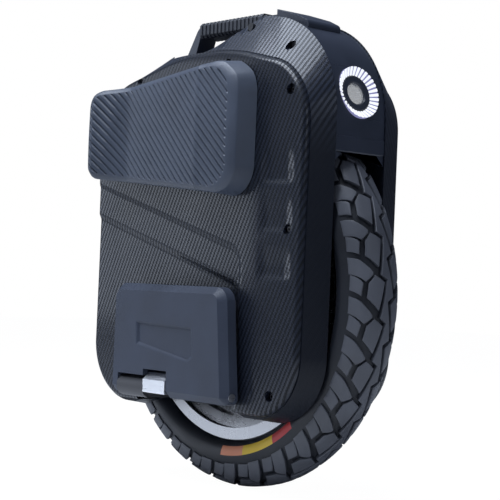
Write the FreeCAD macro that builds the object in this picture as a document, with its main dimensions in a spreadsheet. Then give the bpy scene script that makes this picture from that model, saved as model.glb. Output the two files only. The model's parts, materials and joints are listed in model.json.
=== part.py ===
import FreeCAD, Part
import Sketcher
import math
import os
import re
from FreeCAD import Placement, Rotation, Vector

# Electric unicycle with folding pedals. +X is forward, +Y is left and +Z is up.
# The origin lies on the ground under the axle. Most pieces are drawn around the axle
# and raised by the tyre radius.

# Each size has a name, a number or formula, and what it measures, in millimetres and degrees.
SIZES = [
    ("tyre_radius", 250, "outer radius of the tyre"),
    ("tyre_width", 76, "width over the tyre shoulders"),
    ("crown_height", 45, "height of the rounded crown"),
    ("tread_depth", 5.5, "depth of the tread grooves"),
    ("tread_pitches", 30, "repeats of the tread round the tyre"),
    ("groove_width", 2.8, "width of a tread groove"),
    ("casing_wall", 7, "thickness of the tyre casing"),
    ("bead_radius", 178, "radius of the bead seat"),
    ("bead_half", 23.5, "half distance over the beads"),
    ("bead_thickness", 6, "thickness of a bead"),
    ("bead_clearance", 0.3, "clearance between bead and rim"),
    ("lip_radius", 189, "radius of the rim lip"),
    ("lip_gap", 1.5, "room between the rim lip and the casing"),
    ("lip_thickness", 4, "thickness of the rim lip"),
    ("rim_wall", 4, "wall of the rim barrel"),
    ("well_depth", 14, "depth of the rim well"),
    ("well_width", 22, "width of the rim well"),
    ("web_thickness", 12, "thickness of the rim web"),
    ("web_holes", 5, "cut-outs in the rim web"),
    ("web_hole_radius", 14, "radius of a web cut-out"),
    ("drum_radius", 128, "outer radius of the rotor drum"),
    ("drum_wall", 8, "wall of the rotor drum"),
    ("drum_half", 32, "half width of the rotor drum"),
    ("magnet_count", 40, "magnets round the rotor"),
    ("magnet_thickness", 4, "radial thickness of a magnet"),
    ("magnet_width", 15, "width of a magnet along the drum"),
    ("magnet_half", 22, "half length of a magnet"),
    ("air_gap", 1, "gap between magnets and stator"),
    ("stator_half", 20, "half length of the stator stack"),
    ("tooth_count", 36, "stator teeth"),
    ("tooth_width", 8, "width of a stator tooth"),
    ("tooth_length", 26, "length of a stator tooth"),
    ("yoke_thickness", 14, "thickness of the stator yoke"),
    ("coil_gap", 0.5, "gap between coil and tooth"),
    ("coil_overhang", 5, "coil height past the stack"),
    ("spider_half", 8, "half thickness of the stator spider"),
    ("axle_radius", 12.5, "radius of the axle journal"),
    ("axle_end_radius", 10, "radius of the threaded axle ends"),
    ("axle_shoulder", 40, "half distance over the axle journal"),
    ("axle_half", 73, "half length of the axle"),
    ("bearing_radius", 26, "outer radius of a wheel bearing"),
    ("bearing_width", 15, "width of a wheel bearing"),
    ("bearing_ring", 3.6, "thickness of a bearing ring"),
    ("shield_thickness", 1.5, "thickness of a bearing shield"),
    ("shield_play", 0.1, "play of a bearing shield"),
    ("motor_cover_thickness", 6, "thickness of a motor cover"),
    ("bearing_boss", 8, "wall of the bearing boss"),
    ("well_half", 42, "half width of the wheel well"),
    ("shell_wall", 4, "wall of the inner shells"),
    ("seam_half", 73.5, "half distance over the seam planes"),
    ("wall_front", "=tyre_radius * 0.776", "front reach of a wheel wall"),
    ("wall_rear", "=tyre_radius * 0.992", "rear reach of a wheel wall"),
    ("wall_low", "=tyre_radius * 0.628", "lowest edge of a wheel wall under the axle"),
    ("wall_low_corner", 85, "lower corner radius of a wheel wall"),
    ("wall_front_shoulder", "=tyre_radius * 1.316", "front shoulder of a wheel wall over the axle"),
    ("wall_front_corner", 132, "front corner radius of a wheel wall"),
    ("wall_peak", "=tyre_radius * 1.452", "peak of a wheel wall over the axle"),
    ("wall_peak_forward", 3, "peak of a wheel wall forward of the axle"),
    ("wall_crown", 230, "crown radius of a wheel wall"),
    ("wall_rear_shoulder", "=tyre_radius * 1.1", "rear shoulder of a wheel wall over the axle"),
    ("wall_rear_corner", 100, "rear corner radius of a wheel wall"),
    ("seam_front", "=tyre_radius * 0.732", "front reach of the seam"),
    ("seam_rear", "=tyre_radius * 0.944", "rear reach of the seam"),
    ("seam_low", "=tyre_radius * 0.608", "lowest edge of the seam under the axle"),
    ("seam_low_corner", 80, "lower corner radius of the seam"),
    ("seam_front_shoulder", "=tyre_radius * 1.1", "front shoulder of the seam over the axle"),
    ("seam_rear_shoulder", "=tyre_radius * 1.068", "rear shoulder of the seam over the axle"),
    ("seam_corner", 85, "upper corner radius of the seam"),
    ("seam_peak", "=tyre_radius * 1.284", "peak of the seam lines over the axle"),
    ("seam_peak_back", 14, "peak of the seam lines behind the axle"),
    ("seam_crown", 380, "crown radius of the seam"),
    ("axle_hole_radius", 42, "hole for the axle in an inner shell"),
    ("scoop_low", "=tyre_radius * 1.236", "floor of the handle scoop over the axle"),
    ("scoop_rear", 128, "rear end of the handle scoop"),
    ("scoop_bend", 15, "where the scoop turns up, behind the axle"),
    ("scoop_front", 56, "front end of the handle scoop"),
    ("scoop_high", "=tyre_radius * 1.416", "front tip of the handle scoop over the axle"),
    ("scoop_radius", 60, "bend radius of the handle scoop"),
    ("arch_radius", 384, "radius of the arch in the lower edge"),
    ("arch_rise", 17, "rise of the arch in the lower edge"),
    ("pedal_back", 28, "how far the pedals sit behind the axle"),
    ("cover_gap", 1.5, "open seam round a side cover"),
    ("cover_depth", 12, "depth of a side cover"),
    ("cover_edge", 9, "edge radius of a side cover"),
    ("cover_wall", 3, "wall of a side cover"),
    ("cover_flange", 33, "seating flange of a side cover"),
    ("ridge_rear", 143, "rear end of the moulded ridge over the axle"),
    ("ridge_front", 53, "front end of the moulded ridge over the axle"),
    ("ridge_step", 2, "step of the moulded ridge"),
    ("groove_rear", 104, "rear end of the pedal pocket edge over the axle"),
    ("groove_front", 14, "front end of the pedal pocket edge over the axle"),
    ("pocket_step", 4, "further step of the pedal pocket"),
    ("pocket_front", 78, "front edge of the pedal pocket"),
    ("pocket_corner", 16, "corner radius of the pedal pocket"),
    ("segment_depth", 1.4, "depth of the moulded segments"),
    ("segment_height", 36, "height of a moulded segment"),
    ("segment_pitch", 50, "pitch of the moulded segments"),
    ("segment_top", 176, "top of the upper segment over the axle"),
    ("segment_width", 50, "width of a moulded segment"),
    ("segment_inset", 18, "segment distance behind the seam"),
    ("bolt_sink_radius", 6.2, "counterbore radius of the shell bolts"),
    ("bolt_head_radius", 5, "head radius of the shell bolts"),
    ("bolt_head", 5, "head height of the shell bolts"),
    ("bolt_floor", 50.5, "counterbore floor of the shell bolts off the middle"),
    ("bolt_shank", 3, "shank radius of the shell bolts"),
    ("bolt_back", 67, "front shell bolt behind the wall edge"),
    ("bolt_drop", 23, "front shell bolt under the wall shoulder"),
    ("pad_clearance", 0.3, "room between pad and cover"),
    ("pad_depth", 32, "depth of a leg pad at its main face"),
    ("pad_lip", 17, "rise of the rear lip over the main face"),
    ("pad_valley", 7, "drop of the valley before the lip"),
    ("pad_front", 98, "front reach of a leg pad"),
    ("pad_rear", 194, "rear reach of a leg pad"),
    ("pad_crease", 20, "crease of a leg pad forward of the axle"),
    ("pad_front_drop", 7, "drop of the front facet at its edge"),
    ("pad_low_front", 119, "lower front corner over the axle"),
    ("pad_low_rear", 146, "lower rear corner over the axle"),
    ("pad_high_front", 293, "upper front corner over the axle"),
    ("pad_high_rear", 262, "upper rear corner over the axle"),
    ("pad_bevel", 11, "width of the bevel round the face"),
    ("pad_crown", 1.5, "swell of the pad face at mid height"),
    ("pad_front_corner", 24, "front corner radius of a leg pad"),
    ("pad_rear_corner", 14, "rear corner radius of a leg pad"),
    ("pad_draw", 3, "how far the sides draw in at the base"),
    ("channel_count", 20, "diagonal channels in a leg pad"),
    ("channel_pitch", 15.5, "pitch of the channels, square to them"),
    ("channel_width", 2.2, "width of a channel"),
    ("channel_depth", 1.4, "depth of a channel"),
    ("hinge_off", 100.5, "pedal hinge off the middle"),
    ("hinge_low", 127, "pedal hinge under the axle"),
    ("pin_radius", 5, "radius of a hinge pin"),
    ("pin_clearance", 0.05, "running clearance of a hinge pin"),
    ("pedal_length", 240, "length of a pedal"),
    ("pedal_reach", 134, "reach of a pedal past its hinge"),
    ("pedal_thickness", 22, "thickness of a pedal"),
    ("pedal_inner", 9, "standing face of a pedal inside its hinge"),
    ("pedal_bevel", 9, "bevel round a pedal's underside"),
    ("pedal_corner", 20, "corner radius of a pedal"),
    ("ear_radius", 10, "radius of a pedal's hinge ears"),
    ("ear_length", 20, "length of a pedal's rear hinge ear"),
    ("arrow_depth", 3, "depth of the recess in a pedal's underside"),
    ("mat_thickness", 2.5, "thickness of a pedal mat"),
    ("mat_margin", 12, "margin round a pedal mat"),
    ("mat_rib", 6, "width of a mat rib"),
    ("mat_pitch", 12, "pitch of the mat ribs"),
    ("hanger_thickness", 13, "thickness of a hanger plate"),
    ("hanger_head", 32, "radius of a hanger's axle clamp"),
    ("barrel_radius", 14, "radius of a hanger's hinge barrel"),
    ("barrel_rear", 128, "rear end of the barrel behind the axle"),
    ("barrel_front", 26, "front end of the barrel behind the axle"),
    ("stop_length", 46, "length of a pedal stop"),
    ("stop_height", 20, "height of a pedal stop"),
    ("stop_clearance", 1.5, "room round a pedal stop"),
    ("cowl_recess", 2, "front cowl behind the wall edge"),
    ("cowl_wall", 7, "wall of the cowls"),
    ("cowl_clearance", 0.3, "room between cowls and walls"),
    ("cowl_opening", "=tyre_radius * 0.704", "top of the wheel opening over the axle"),
    ("cowl_gusset", 12, "chamfer of the wheel opening"),
    ("cowl_gusset_half", 29, "half width of the wheel opening at its top"),
    ("bar_rise", 20, "height of the cross bar"),
    ("bar_proud", 1, "cross bar in front of the cowl"),
    ("lamp_radius", 33, "radius of the headlight bore"),
    ("lamp_tilt", 15, "upward tilt of the headlight in degrees"),
    ("lamp_clearance", 0.3, "room round the headlight"),
    ("ring_inner", 24, "inner radius of the light ring"),
    ("ring_segments", 40, "segments of the light ring"),
    ("ring_depth", 6, "depth of the light ring"),
    ("lens_radius", 17, "radius of the headlight lens"),
    ("lamp_depth", 26, "depth of the headlight housing"),
    ("cap_front", 122, "front end of the top cap"),
    ("cap_rear", 62, "rear end of the top cap"),
    ("cap_half", 28, "half width of the top cap"),
    ("cap_wall", 9, "thickness of the top cap"),
    ("deck_height", "=tyre_radius * 1.212", "top of the deck over the axle"),
    ("deck_wall", 4, "thickness of the deck"),
    ("deck_front", 108, "front end of the deck"),
    ("deck_rear", 149, "rear end of the deck"),
    ("grip_rise", 61, "top of the grip over the deck"),
    ("grip_top", "=deck_height + grip_rise", "top of the grip over the axle"),
    ("grip_height", 21, "height of the grip"),
    ("grip_half", 18, "half width of the grip"),
    ("grip_front", 22, "front end of the grip"),
    ("grip_rear", 112, "rear end of the grip behind the axle"),
    ("grip_wall", 4, "wall of the grip sleeve"),
    ("grip_rib_pitch", 8, "pitch of the grip ribs"),
    ("grip_groove", 3.4, "width of the grooves between grip ribs"),
    ("grip_groove_depth", 1.6, "depth of the grooves between grip ribs"),
    ("post_length", 38, "length of the handle's front post"),
    ("ramp_length", 36, "length of the handle's rear ramp"),
    ("arch_room", 9, "room between the tyre and the wheel-arch liner"),
    ("liner_radius", "=tyre_radius + arch_room", "inner radius of the wheel-arch liner"),
    ("liner_wall", 3, "wall of the wheel-arch liner"),
    ("liner_span", 89.5, "angle that the liner covers in degrees"),
    ("rear_low", "=tyre_radius * 0.568", "lower edge of the rear cowl over the axle"),
    ("tail_height", "=tyre_radius * 0.648", "middle of the tail light over the axle"),
    ("tail_width", 64, "width of the tail light"),
    ("tail_rise", 18, "height of the tail light"),
    ("tail_depth", 5, "depth of the tail light"),
    ("charge_height", "=tyre_radius * 0.776", "middle of the charge port over the axle"),
    ("charge_radius", 9, "radius of the charge port"),
    ("charge_depth", 16, "depth of the charge port"),
    ("button_radius", 7, "radius of the buttons"),
    ("button_travel", 1.5, "travel of the buttons"),
    ("button_height", 8, "height of the buttons"),
    ("button_proud", 2, "rise of the buttons"),
    ("button_play", 0.1, "radial play of the buttons"),
    ("pack_margin", 2, "room round a battery pack"),
    ("pack_inner", 68, "inner end of a battery pack from the axle"),
    ("pack_low", 40, "lower end of a battery pack under the axle"),
    ("pack_high", 203, "upper end of a battery pack over the axle"),
    ("pack_thickness", 25, "thickness of a battery pack"),
    ("pack_corner", 9, "edge radius of a battery pack"),
    ("board_thickness", 2, "thickness of the control board"),
    ("board_half", 36, "half width of the control board"),
    ("sink_height", 20, "height of the heat sink"),
    ("sink_fins", 9, "fins of the heat sink"),
    ("valve_radius", 3.85, "radius of the valve stem"),
    ("valve_length", 22, "length of the valve stem past the rim"),
]
ALIASES = {alias for alias, number, note in SIZES}

doc = FreeCAD.newDocument("electric_unicycle")
sheet = doc.addObject("Spreadsheet::Sheet", "Sizes")
for line, (alias, number, note) in enumerate(SIZES, 1):
    sheet.set(f"A{line}", note)
    sheet.set(f"B{line}", str(number))
    sheet.setAlias(f"B{line}", alias)
doc.recompute()

NODES = []


def bound(text):
    """The text with each size's name written as a reference to its cell."""
    words = re.compile(r"[a-z_]{3,}")
    return words.sub(lambda word: "Sizes." + word[0] if word[0] in ALIASES else word[0], str(text))


def value(text):
    """The number that an expression of sizes comes to."""
    return float(sheet.evalExpression(bound(text)))


def new_body(label, raised=True):
    body = doc.addObject("PartDesign::Body", label)
    body.Label = label
    body.AllowCompound = True
    if raised:
        body.setExpression("Placement.Base.z", bound("tyre_radius"))
    NODES.append(body)
    return body


def origin_feature(body, role):
    return next(feature for feature in body.Origin.OriginFeatures if feature.Role == role)


def new_sketch(body, role, offset="0"):
    sketch = body.newObject("Sketcher::SketchObject", body.Label + "_sketch")
    sketch.AttachmentSupport = [(origin_feature(body, role), "")]
    sketch.MapMode = "FlatFace"
    if offset != "0":
        sketch.setExpression("AttachmentOffset.Base.z", bound(offset))
    return sketch


def hold_point(sketch, mark, end, place, texts):
    """Dimension one point of a sketch from its origin."""
    for kind, number, text in zip(("DistanceX", "DistanceY"), place, texts):
        index = sketch.addConstraint(Sketcher.Constraint(kind, mark, end, number))
        sketch.setExpression(f"Constraints[{index}]", bound(text))


def round_corner(sketch, corner, before, after, point, arms, radius_text):
    """Round one corner of an outline between two lines."""
    radius = value(radius_text)
    middle = (arms[0] + arms[1]).normalize()
    half = arms[0].getAngle(arms[1]) / 2
    centre = point + middle * (radius / math.sin(half))
    angles = []
    for arm in arms:
        touch = point + arm * (radius / math.tan(half)) - centre
        angles.append(math.atan2(touch.y, touch.x))
    forward = (angles[1] - angles[0]) % (2 * math.pi) < math.pi
    ends = (1, 2) if forward else (2, 1)
    if not forward:
        angles.reverse()
    circle = Part.Circle(centre, Vector(0, 0, 1), radius)
    arc = sketch.addGeometry(Part.ArcOfCircle(circle, angles[0], angles[1]), False)
    sketch.addConstraint(Sketcher.Constraint("Tangent", before, 2, arc, ends[0]))
    sketch.addConstraint(Sketcher.Constraint("Tangent", arc, ends[1], after, 1))
    index = sketch.addConstraint(Sketcher.Constraint("Radius", arc, radius))
    sketch.setExpression(f"Constraints[{index}]", bound(radius_text))
    mark = sketch.addGeometry(Part.Point(point), True)
    sketch.addConstraint(Sketcher.Constraint("PointOnObject", mark, 1, before))
    sketch.addConstraint(Sketcher.Constraint("PointOnObject", mark, 1, after))
    hold_point(sketch, mark, 1, (point.x, point.y), corner[:2])


def draw_outline(sketch, corners):
    """A closed outline through corners given as (x, y) or (x, y, radius), in terms of sizes."""
    points = [Vector(value(corner[0]), value(corner[1]), 0) for corner in corners]
    count = len(corners)
    arms = []
    trims = []
    for index, corner in enumerate(corners):
        point = points[index]
        pair = ((points[index - 1] - point).normalize(), (points[(index + 1) % count] - point).normalize())
        arms.append(pair)
        radius = value(corner[2]) if len(corner) > 2 else 0
        trims.append(radius / math.tan(pair[0].getAngle(pair[1]) / 2))
    lines = []
    for index in range(count):
        follower = (index + 1) % count
        start = points[index] + arms[index][1] * trims[index]
        finish = points[follower] + arms[follower][0] * trims[follower]
        lines.append(sketch.addGeometry(Part.LineSegment(start, finish), False))
    for index, corner in enumerate(corners):
        before, after = lines[index - 1], lines[index]
        if len(corner) > 2:
            round_corner(sketch, corner, before, after, points[index], arms[index], corner[2])
        else:
            sketch.addConstraint(Sketcher.Constraint("Coincident", before, 2, after, 1))
            hold_point(sketch, after, 1, (points[index].x, points[index].y), corner)
    return sketch


def draw_circles(sketch, circles):
    """Circles given as (x, y, radius), in terms of sizes."""
    for across, up, radius in circles:
        centre = Vector(value(across), value(up), 0)
        mark = sketch.addGeometry(Part.Circle(centre, Vector(0, 0, 1), value(radius)), False)
        index = sketch.addConstraint(Sketcher.Constraint("Radius", mark, value(radius)))
        sketch.setExpression(f"Constraints[{index}]", bound(radius))
        hold_point(sketch, mark, 3, (centre.x, centre.y), (across, up))
    return sketch


def outline(body, role, corners, offset="0"):
    return draw_outline(new_sketch(body, role, offset), corners)


def circles(body, role, rounds, offset="0"):
    return draw_circles(new_sketch(body, role, offset), rounds)


def box_corners(left, low, right, high, radius=None):
    corners = [(left, low), (right, low), (right, high), (left, high)]
    return [corner + (radius,) for corner in corners] if radius else corners


def pad(body, sketch, length, both_ways=False, flipped=False):
    feature = body.newObject("PartDesign::Pad", body.Label + "_pad")
    feature.Profile = sketch
    feature.setExpression("Length", bound(length))
    feature.Midplane = both_ways
    feature.Reversed = flipped
    doc.recompute()
    return feature


def pocket(body, sketch, length=None, flipped=False, both_ways=False):
    """Cut against the sketch's normal, or along it where flipped, through everything without a length."""
    before = body.Shape.Volume
    feature = body.newObject("PartDesign::Pocket", body.Label + "_pocket")
    feature.Profile = sketch
    feature.Reversed = flipped
    feature.Midplane = both_ways
    if length:
        feature.setExpression("Length", bound(length))
    else:
        feature.Type = "ThroughAll"
    doc.recompute()
    if body.Shape.Volume >= before:
        raise RuntimeError(f"{body.Label}: {feature.Name} cuts nothing")
    return feature


def revolve(body, sketch, axis="Y_Axis"):
    feature = body.newObject("PartDesign::Revolution", body.Label + "_revolution")
    feature.Profile = sketch
    feature.ReferenceAxis = (origin_feature(body, axis), [""])
    feature.Angle = 360
    doc.recompute()
    return feature


def loft(body, sketches):
    feature = body.newObject("PartDesign::AdditiveLoft", body.Label + "_loft")
    feature.Profile = sketches[0]
    feature.Sections = sketches[1:]
    feature.Ruled = True
    doc.recompute()
    return feature


def polar(body, feature, count, axis="Y_Axis"):
    pattern = body.newObject("PartDesign::PolarPattern", body.Label + "_pattern")
    pattern.Originals = [feature]
    pattern.Axis = (origin_feature(body, axis), [""])
    pattern.Angle = 360
    pattern.setExpression("Occurrences", bound(count))
    body.Tip = pattern
    doc.recompute()
    return pattern


def row(body, feature, length, count, axis="X_Axis"):
    pattern = body.newObject("PartDesign::LinearPattern", body.Label + "_row")
    pattern.Originals = [feature]
    pattern.Direction = (origin_feature(body, axis), [""])
    pattern.setExpression("Length", bound(length))
    pattern.setExpression("Occurrences", bound(count))
    body.Tip = pattern
    doc.recompute()
    return pattern


def dress(body, kind, size, chosen):
    """Fillet or chamfer the edges of the body that the test picks."""
    base = body.Tip
    names = [f"Edge{index}" for index, edge in enumerate(base.Shape.Edges, 1) if chosen(edge)]
    feature = body.newObject("PartDesign::" + kind, body.Label + "_" + kind.lower())
    feature.Base = (base, names)
    feature.setExpression("Radius" if kind == "Fillet" else "Size", bound(size))
    doc.recompute()
    return feature


def lies_at(edge, axis, place, tolerance=0.01):
    """Whether every vertex of an edge has this coordinate."""
    return all(abs(getattr(vertex.Point, axis) - place) < tolerance for vertex in edge.Vertexes)


def mirrored(source, label):
    """The left-hand counterpart of a right-hand piece."""
    twin = doc.addObject("Part::Mirroring", label)
    twin.Label = label
    twin.Source = source
    twin.Normal = Vector(0, 1, 0)
    NODES.append(twin)
    doc.recompute()
    return twin


def placed_shape(label, shape):
    """A piece whose shape is worked out here, raised to the axle."""
    piece = doc.addObject("Part::Feature", label)
    piece.Label = label
    piece.Shape = shape
    piece.Placement = Placement(Vector(0, 0, value("tyre_radius")), Rotation()).multiply(shape.Placement)
    NODES.append(piece)
    return piece


# Wheel

# Corners of the crown: off the middle as a share of the half width, and up as a share of the crown height.
CROWN = [(0.22, 1.0), (0.6, 0.87), (0.88, 0.62), (1.0, 0.12)]
CAVITY = [(0.45, 1.0), (0.85, 0.6), (1.0, 0.0)]


def crown_points(corners, half, height):
    """Corners of one half of a crown, as radius and width."""
    foot = value("tyre_radius - crown_height")
    return [Vector(foot + up * height, off * half, 0) for off, up in corners]


def casing_section():
    """The tyre's cross section, with the radius along X and the width along Y."""
    half = value("tyre_width / 2")
    height = value("crown_height")
    bead = value("bead_radius + bead_clearance")
    heel = value("bead_half")
    toe = value("bead_half - bead_thickness")
    lip = value("lip_radius + lip_gap")
    belly = Vector((lip + value("tyre_radius - crown_height")) / 2, half - value("casing_wall") / 2, 0)
    outside = crown_points(CROWN, half, height) + [belly, Vector(lip, heel, 0), Vector(bead, heel, 0)]
    cavity = crown_points(CAVITY, half - value("casing_wall"), height - value("casing_wall + tread_depth"))
    inside = [Vector(bead, toe, 0), Vector(lip, toe, 0)] + cavity[::-1]
    left = outside + inside
    right = [Vector(point.x, -point.y, 0) for point in left[::-1]]
    return Part.Face(Part.makePolygon(left + right + left[:1]))


# Corners of one tread repeat on one side: along the pitch, and off the middle as a share of the half width.
ZIGZAG_INNER = (0.0, 0.3)
ZIGZAG_OUTER = (0.45, 0.6)
ZIGZAG_NEXT = (1.0, 0.3)
SHOULDER_END = (0.25, 0.86)
TREAD_GROOVES = [(ZIGZAG_INNER, ZIGZAG_OUTER), (ZIGZAG_OUTER, ZIGZAG_NEXT), (ZIGZAG_OUTER, SHOULDER_END)]


def on_tread(along, off):
    """The point of the crown at a place of the tread, and the outward direction there."""
    turn = along * 2 * math.pi / value("tread_pitches")
    outward = Vector(math.cos(turn), 0, -math.sin(turn))
    corners = crown_points(CROWN, value("tyre_width / 2"), value("crown_height"))
    wide = abs(off) * value("tyre_width / 2")
    first, last = next(pair for pair in zip(corners, corners[1:]) if wide <= pair[1].y)
    radius = first.x + (last.x - first.x) * (wide - first.y) / (last.y - first.y)
    side = math.copysign(1, off)
    normal = outward * (last.y - first.y) + Vector(0, side * (first.x - last.x), 0)
    return outward * radius + Vector(0, side * wide, 0), normal.normalize()


def groove_blade(start, finish, side, shift):
    """A box that cuts one straight groove of the tread, square to the crown at its middle."""
    width = value("groove_width")
    first = on_tread(start[0] + shift, side * start[1])[0]
    last = on_tread(finish[0] + shift, side * finish[1])[0]
    seat, normal = on_tread((start[0] + finish[0]) / 2 + shift, side * (start[1] + finish[1]) / 2)
    course = (last - first).normalize()
    length = (last - first).Length + 2 * width
    corner = Vector(-length / 2, -width / 2, -value("tread_depth"))
    blade = Part.makeBox(length, width, value("3 * tread_depth"), corner)
    turn = Rotation(course, normal.cross(course), normal, "ZXY")
    blade.Placement = Placement(seat, turn).multiply(blade.Placement)
    return blade


def make_tyre():
    """The casing turned round the axle, with the zigzag and shoulder grooves cut in its crown."""
    casing = casing_section().revolve(Vector(0, 0, 0), Vector(0, 1, 0), 360)
    blades = []
    for side, stagger in ((-1, 0.0), (1, 0.5)):
        for pitch in range(int(value("tread_pitches"))):
            blades += [groove_blade(start, finish, side, pitch + stagger) for start, finish in TREAD_GROOVES]
    tyre = casing.cut(blades)
    if tyre.Volume >= casing.Volume:
        raise RuntimeError("the tread grooves cut nothing")
    placed_shape("tyre", tyre)


def make_rim():
    body = new_body("rim")
    seat_half = "bead_half + bead_clearance"
    lip_half = seat_half + " + lip_thickness"
    well = "bead_radius - well_depth"
    half_well = "well_width / 2"
    upper = [
        ("lip_radius", seat_half), ("bead_radius", seat_half), ("bead_radius", half_well + " + rim_wall"),
        (well, half_well),
    ]
    under = [
        (well + " - rim_wall", "web_thickness / 2"), ("drum_radius", "web_thickness / 2"),
        ("drum_radius", "drum_half"), ("drum_radius - drum_wall", "drum_half"),
    ]
    edge = [
        ("lip_radius", lip_half), ("bead_radius - rim_wall", lip_half),
        ("bead_radius - rim_wall", half_well + " + 2 * rim_wall"),
        (well + " - rim_wall", half_well + " + rim_wall"),
    ]
    left = edge[::-1] + upper
    loop = under[::-1] + left
    right = [(radius, f"-({off})") for radius, off in loop[::-1]]
    revolve(body, outline(body, "XY_Plane", loop + right))
    hole_place = f"({well} - rim_wall + drum_radius) / 2"
    hole = pocket(body, circles(body, "XZ_Plane", [(hole_place, "0", "web_hole_radius")]), both_ways=True)
    polar(body, hole, "web_holes")
    port = circles(body, "YZ_Plane", [("0", "0", "valve_radius + pin_clearance")], hole_place)
    pocket(body, port, f"bead_radius - ({hole_place})", flipped=True)
    return body


def make_valve():
    stem = new_body("valve_stem")
    well = "bead_radius - well_depth"
    tip = f"{well} - valve_length"
    corners = [
        (tip, "0"), (f"{well} + 4", "0"), (f"{well} + 4", "valve_radius"),
        (f"{well} + 2.5", "valve_radius + 3"),
        (f"{well} + pin_clearance", "valve_radius + 3"), (f"{well} + pin_clearance", "valve_radius"),
        (tip, "valve_radius"),
    ]
    revolve(stem, outline(stem, "XY_Plane", corners), "X_Axis")
    cap = new_body("valve_cap")
    near = f"{tip} - pin_clearance"
    corners = [(f"{near} - 8", "0"), (near, "0"), (near, "valve_radius + 1"),
               (f"{near} - 7", "valve_radius + 1"),
               (f"{near} - 8", "valve_radius")]
    revolve(cap, outline(cap, "XY_Plane", corners), "X_Axis")


def make_axle():
    body = new_body("axle")
    corners = [
        ("0", "-axle_half"), ("axle_end_radius", "-axle_half"), ("axle_end_radius", "-axle_shoulder"),
        ("axle_radius", "-axle_shoulder"), ("axle_radius", "axle_shoulder"),
        ("axle_end_radius", "axle_shoulder"),
        ("axle_end_radius", "axle_half"), ("0", "axle_half"),
    ]
    revolve(body, outline(body, "XY_Plane", corners))


BEARING_OUTER = "drum_half + motor_cover_thickness"
BEARING_INNER = BEARING_OUTER + " - bearing_width"
TOOTH_TIP = "drum_radius - drum_wall - magnet_thickness - air_gap"


def make_bearings():
    """The two sealed wheel bearings: plain inner rings, and outer rings that carry the shields."""
    inner = new_body("bearing_inner_rings")
    outer = new_body("bearing_outer_rings")
    race = "(axle_radius + bearing_ring)"
    shield = f"{race} + shield_play"
    thick = "bearing_radius - bearing_ring"
    for side in ("", "-"):
        corners = box_corners("axle_radius", f"{side}({BEARING_INNER})", race, f"{side}({BEARING_OUTER})")
        revolve(inner, outline(inner, "XY_Plane", corners))
        corners = [
            ("bearing_radius", f"{side}({BEARING_INNER})"), ("bearing_radius", f"{side}({BEARING_OUTER})"),
            (shield, f"{side}({BEARING_OUTER})"), (shield, f"{side}({BEARING_OUTER} - shield_thickness)"),
            (thick, f"{side}({BEARING_OUTER} - shield_thickness)"), (thick, f"{side}({BEARING_INNER})"),
        ]
        revolve(outer, outline(outer, "XY_Plane", corners))


def make_motor_covers():
    right = new_body("motor_cover_right")
    outer = f"-({BEARING_OUTER})"
    boss = f"-({BEARING_INNER})"
    corners = [
        ("bearing_radius", outer), ("drum_radius", outer), ("drum_radius", "-drum_half"),
        ("bearing_radius + 3 * bearing_boss", "-drum_half"), ("bearing_radius + bearing_boss", boss),
        ("bearing_radius", boss),
    ]
    revolve(right, outline(right, "XY_Plane", corners))
    mirrored(right, "motor_cover_left")


def make_stator():
    body = new_body("stator")
    yoke_outer = f"{TOOTH_TIP} - tooth_length"
    yoke_inner = f"{yoke_outer} - yoke_thickness"
    half = [(yoke_outer, "stator_half"), (yoke_inner, "stator_half"), (yoke_inner, "spider_half"),
            ("axle_radius", "spider_half")]
    other = [(radius, f"-{off}") for radius, off in half[::-1]]
    revolve(body, outline(body, "XY_Plane", half + other))
    corners = box_corners(f"{yoke_outer} - 1", "-tooth_width / 2", TOOTH_TIP, "tooth_width / 2")
    tooth = pad(body, outline(body, "XZ_Plane", corners), "2 * stator_half", both_ways=True)
    polar(body, tooth, "tooth_count")


def ring_sector(inner, outer, half_length, half_angle):
    """A block of a ring round the axle, square to its ends."""
    full = math.degrees(half_angle) * 2
    start = Vector(0, -half_length, 0)
    block = Part.makeCylinder(outer, 2 * half_length, start, Vector(0, 1, 0), full)
    return block.cut(Part.makeCylinder(inner, 2 * half_length, start, Vector(0, 1, 0)))


def round_axle(block, count, offset=0.0):
    """Copies of a block, evenly round the axle."""
    copies = []
    for index in range(count):
        copy = block.copy()
        copy.rotate(Vector(0, 0, 0), Vector(0, 1, 0), (index + offset) * 360 / count)
        copies.append(copy)
    return Part.makeCompound(copies)


def make_windings():
    """One coil block in each slot between two stator teeth."""
    low = value(f"{TOOTH_TIP} - tooth_length + coil_gap")
    high = value(f"{TOOTH_TIP} - 2 * coil_gap")
    tall = value("stator_half + coil_overhang")
    slot = math.pi / value("tooth_count")
    corners = []
    for radius, side in ((low, -1), (high, -1), (high, 1), (low, 1)):
        half = radius * math.tan(slot) - value("tooth_width / 2 + coil_gap") / math.cos(slot)
        corners.append(Vector(radius, -tall, side * half))
    block = Part.Face(Part.makePolygon(corners + corners[:1])).extrude(Vector(0, 2 * tall, 0))
    placed_shape("stator_windings", round_axle(block, int(value("tooth_count")), 0.5))


def make_magnets():
    inner = value("drum_radius - drum_wall - magnet_thickness")
    outer = value("drum_radius - drum_wall")
    block = ring_sector(inner, outer, value("magnet_half"), value("magnet_width") / 2 / inner)
    placed_shape("rotor_magnets", round_axle(block, int(value("magnet_count"))))


HANGER_INNER = "(well_half + shell_wall)"
HANGER_OUTER = "(well_half + shell_wall + hanger_thickness)"


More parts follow.
